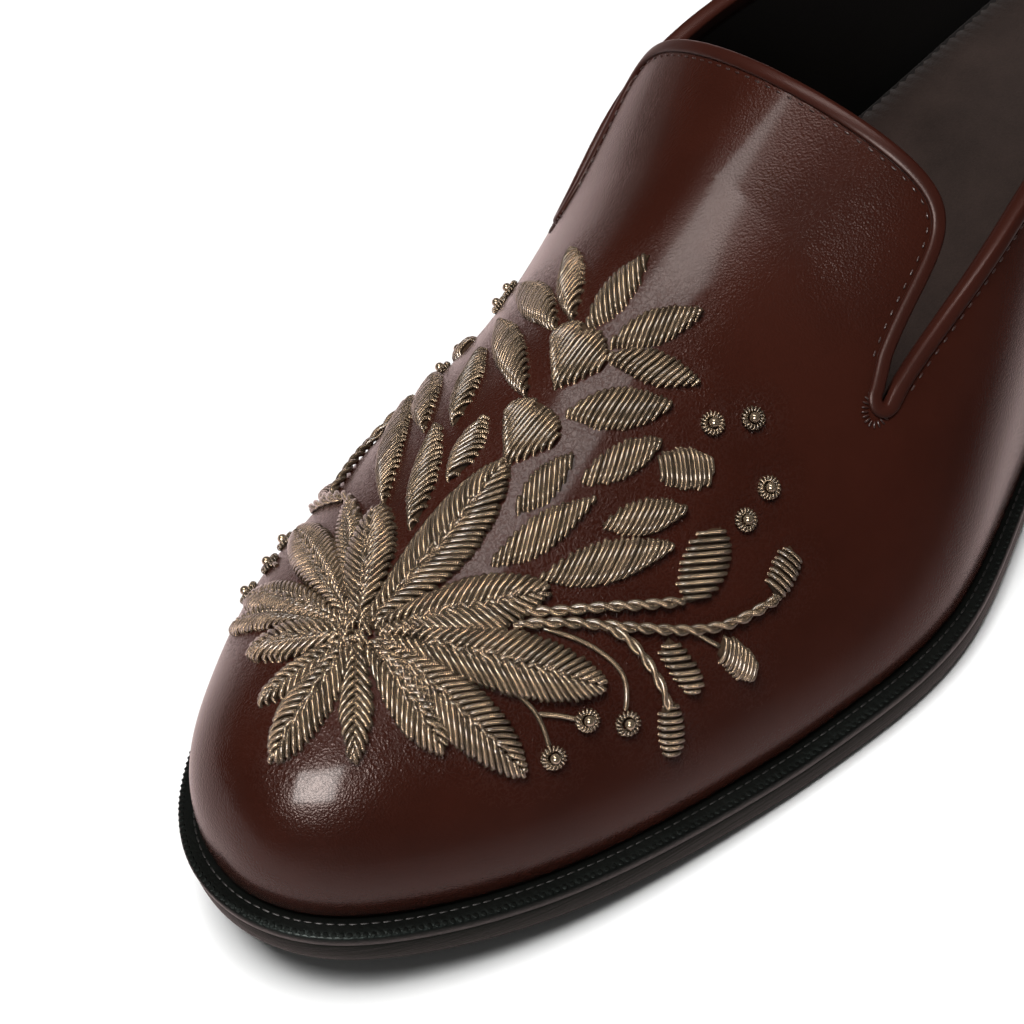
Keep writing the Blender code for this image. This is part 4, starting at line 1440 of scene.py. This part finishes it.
def makeGoldwork():
    flower, chips, leaves, builder = [], [], [], bmesh.new()
    fineRadius = goldwork["threadRadius"] * goldwork["fineRadius"]
    for number, (tip, length, width, furrow) in enumerate(petals):
        lift = goldwork["petalLift"] * (number % 3)    # neighbours overlap
        flower += petalThreads(tip, length, width, furrow, lift)
        if furrow:
            chips += veinChips(tip, length, lift)
        paddingGrid(builder, tip, petalFrame(tip, length)[0], width, petalHalf, lobes, goldwork["petalPuff"] * 0.9)
    for turn in np.arange(0, 360, 33):
        middle = rng.uniform(0.6, 2.4) * np.array([math.cos(math.radians(turn)), math.sin(math.radians(turn))])
        slant = rng.uniform(0, math.pi)
        q = np.linspace(-1, 1, 7)
        flat = middle + np.outer(q, (math.cos(slant), math.sin(slant)))
        chips.append(np.column_stack([flat, 0.5 + 0.9 * (1 - q**2) ** 0.6]))
    layThreads("gold_flower", flower, goldwork["threadRadius"], bullion)
    layThreads("gold_flower_chips", chips, fineRadius, bullion)
    for rows, lean in ((innerLeaves, goldwork["innerLean"]), (outerLeaves, -goldwork["outerLean"])):
        for tip, base, width in rows:
            leaves += satinThreads("leaf", tip, base, width, lean, goldwork["leafPitch"], goldwork["leafPuff"])
            paddingGrid(builder, tip, base, width, leafHalf, dome, goldwork["leafPuff"])
    for kind, tip, base, width, lean in buds:
        pitch = goldwork["heartPitch"] if kind == "heart" else goldwork["budPitch"]
        puff = goldwork["heartPuff"] if kind == "heart" else goldwork["budPuff"]
        leaves += satinThreads(kind, tip, base, width, lean, pitch, puff)
        paddingGrid(builder, tip, base, width, outlines[kind], dome, puff)
    layThreads("gold_leaves", leaves, fineRadius, bullion)
    piece = closeUp(builder, "gold_padding", [feltPadding])
    rideOn(piece)
    strands = [strand for path in ropes for strand in ropeThreads(path)]
    layThreads("gold_stems", strands, goldwork["ropeRadius"], bullion)
    layThreads("gold_stalks", [stalkThread(path) for path in stalks], goldwork["stalkRadius"], bullion)
    layThreads("gold_berry_rings", [ringThread(middle, rng.uniform(0.94, 1.06)) for middle in berries],
               goldwork["ringWire"], bullion, goldwork["ringSides"])
    print("threads laid:", len(flower) + len(chips) + len(leaves))


def makeBeads():
    # a bead stands in the middle of each ring
    bpy.ops.mesh.primitive_ico_sphere_add(subdivisions=3, radius=goldwork["beadRadius"] * mm)
    bead = bpy.context.object
    points, normals = onVamp(np.array(berries))
    piece = pathObject("gold_beads", (points + normals * goldwork["beadHeight"])[:, None], [normals])
    grow(piece, scatterTree, {"Copy": bead, "Material": beadMetal})
    bpy.data.objects.remove(bead)
    return rideOn(piece)


def markWorkedLeather():
    # a mask on the upper that is 1 beside the goldwork and fades out around it
    piece = bpy.data.objects["upper_leather"]
    places = toWorld(np.concatenate(workedPlaces))
    tree = KDTree(len(places))
    for number, place in enumerate(places):
        tree.insert(place, number)
    tree.balance()
    near = [max(0.0, 1 - tree.find(vertex.co)[2] / (goldwork["pull"] * mm)) ** 2 for vertex in piece.data.vertices]
    mask = piece.data.attributes.new("worked", "FLOAT", "POINT")
    mask.data.foreach_set("value", np.array(near, dtype=np.float32))


makeGoldwork()
makeBeads()
markWorkedLeather()
print("goldwork made")


stageLook = {
    "floorSize": 12.0, "floorColour": (0.86, 0.86, 0.855), "aim": (0.05, 0, 0.03),
    "sceneFill": 0.085, "glossFill": 0.015, "backdrop": 1.0,    # world strength for light, for gloss and as seen
    # middle and half sizes of the part of the floor that glossy leather mirrors fully, where that fades as
    # halves of those sizes, and the share beyond it
    "nearMiddle": (0.08, -0.34, 0), "nearFloor": (0.40, 0.42), "nearEdge": (0.465, 0.54), "farFloor": 0.03,
    # painted reflection: the pinkish floor colour that glossy rays see near the shoe, in place of the floor's own
    "mirroredFloor": (0.86, 0.67, 0.65), "glossColour": (1.0, 0.94, 0.90),
    # shares of the glow's reach from the shoe, in metres, and how strong it is there
    "glowReach": 4.0, "farGlow": [(0.08, 0), (0.15, 0.2), (0.28, 0.55), (0.45, 0.8), (0.8, 0.98)],
}


def chosenBy(tree, ray, plain, value):
    # the value where the ray is of that kind, and otherwise the plain colour
    return addNode(tree, "ShaderNodeMix", {0: ray, 6: (*plain, 1), 7: value}, data_type="RGBA").outputs[2]


def makeFloor():
    # pale floor; glossy rays see a painted reflection colour instead: a pinkish floor mirrored fully near the shoe
    # and fainter further off, as a small table would be
    bpy.ops.mesh.primitive_plane_add(size=stageLook["floorSize"])
    floor = bpy.context.object
    floor.name = "floor"
    material, tree, shader = newMaterial("paleFloor", stageLook["floorColour"], 0.6, Specular_IOR_Level=0.2)
    place = addNode(tree, "ShaderNodeTexCoord").outputs["Object"]
    ray = addNode(tree, "ShaderNodeLightPath").outputs
    halfLength, halfWidth = stageLook["nearFloor"]
    moved = addNode(tree, "ShaderNodeVectorMath", {0: place, 1: stageLook["nearMiddle"]}, operation="SUBTRACT")
    scaled = addNode(tree, "ShaderNodeVectorMath", {0: moved.outputs[0], 1: (1 / halfLength, 1 / halfWidth, 0)},
                     operation="MULTIPLY")
    distance = addNode(tree, "ShaderNodeVectorMath", {0: scaled.outputs[0]}, operation="LENGTH")
    far = tuple(c * stageLook["farFloor"] for c in stageLook["floorColour"])
    edge = zip(stageLook["nearEdge"], (stageLook["mirroredFloor"], far))
    mirrored = rampOf(tree, calc(tree, "MULTIPLY", distance.outputs["Value"], 0.5), list(edge))
    # painted reflection: glossy rays get the pinkish floor colour that fades away from the shoe, other rays the
    # floor's own colour
    tree.links.new(chosenBy(tree, ray["Is Glossy Ray"], stageLook["floorColour"], mirrored),
                   shader.inputs["Base Color"])
    # far from the shoe the lamp's light falls off; a faint glow keeps the floor as pale there
    away = addNode(tree, "ShaderNodeVectorMath", {0: place}, operation="LENGTH")
    glow = rampOf(tree, calc(tree, "DIVIDE", away.outputs["Value"], stageLook["glowReach"]),
                  [(at, (share, share, share)) for at, share in stageLook["farGlow"]])
    tree.links.new(chosenBy(tree, ray["Is Camera Ray"], (0, 0, 0), glow), shader.inputs["Emission Color"])
    shader.inputs["Emission Strength"].default_value = 1.0
    floor.data.materials.append(material)


def areaLight(name, direction, distance, size, power, lengthwise, use):
    # a softbox that faces the shoe; its second size runs lengthwise; it makes either gloss or plain light
    light = bpy.data.lights.new(name, "AREA")
    light.shape = "RECTANGLE"
    light.size, light.size_y = size
    light.energy = power
    if use == "gloss":
        light.color = stageLook["glossColour"]
    lamp = bpy.data.objects.new(name, light)
    bpy.context.scene.collection.objects.link(lamp)
    away = Vector(direction).normalized()
    across = Vector(lengthwise).cross(away).normalized()
    lamp.matrix_world = Matrix((across, away.cross(across), away)).transposed().to_4x4()
    lamp.location = Vector(stageLook["aim"]) + away * distance
    lamp.visible_glossy = use == "gloss"
    lamp.visible_diffuse = use == "light"
    return lamp


# name, direction to the light, distance, size, power, the way its length runs and what it is for
studioLights = [
    ("overheadStrip", (0.085, -0.12, 0.99), 1.3, (0.25, 1.05), 11.5, (-0.28, 0.96, 0), "gloss"),
    ("frontSoftbox", (0.72, 0.41, 0.57), 1.2, (0.36, 0.50), 22.0, (-0.53, 0.85, 0), "gloss"),
    ("farWall", (-0.05, -1.0, 0.10), 1.5, (2.4, 0.36), 0.8, (0, 0, 1), "gloss"),
    ("ceilingLight", (0.12, 0.05, 1.0), 1.6, (0.75, 0.75), 36.0, (0, 1, 0), "light"),
]


def makeLights():
    for row in studioLights:
        areaLight(*row)
    world = bpy.data.worlds.new("studio")
    bpy.context.scene.world = world
    world.use_nodes = True
    tree = world.node_tree
    background = tree.nodes["Background"]
    background.inputs["Color"].default_value = (1, 1, 1, 1)
    ray = addNode(tree, "ShaderNodeLightPath")
    fill = calc(tree, "MULTIPLY_ADD", ray.outputs["Is Glossy Ray"], stageLook["glossFill"] - stageLook["sceneFill"],
                 stageLook["sceneFill"])
    seen = calc(tree, "MULTIPLY_ADD", ray.outputs["Is Camera Ray"], stageLook["backdrop"] - stageLook["sceneFill"],
                fill)
    tree.links.new(seen, background.inputs["Strength"])


cameraView = {
    "azimuth": 147.15, "elevation": 46.66, "roll": -12.02,
    "target": (215.93, -27.76, -1.7), "distance": 321.7, "lens": 68.02,
}


def makeCamera():
    azimuth = math.radians(cameraView["azimuth"])
    elevation = math.radians(cameraView["elevation"])
    back = Vector((math.sin(azimuth) * math.cos(elevation), -math.cos(azimuth) * math.cos(elevation),
                   math.sin(elevation)))
    right = Vector((0, 0, 1)).cross(back).normalized()
    up = back.cross(right)
    roll = math.radians(cameraView["roll"])
    turnedRight = right * math.cos(roll) + up * math.sin(roll)
    turnedUp = up * math.cos(roll) - right * math.sin(roll)
    data = bpy.data.cameras.new("camera")
    data.lens = cameraView["lens"]
    data.sensor_width = 36
    data.clip_start = 0.01
    camera = bpy.data.objects.new("camera", data)
    bpy.context.scene.collection.objects.link(camera)
    place = Vector(toWorld(cameraView["target"])) + back * cameraView["distance"] * mm
    camera.matrix_world = Matrix((turnedRight, turnedUp, back)).transposed().to_4x4()
    camera.location = place
    bpy.context.scene.camera = camera
    bpy.context.scene.view_settings.view_transform = "Standard"


makeFloor()
makeLights()
makeCamera()
print("stage set")
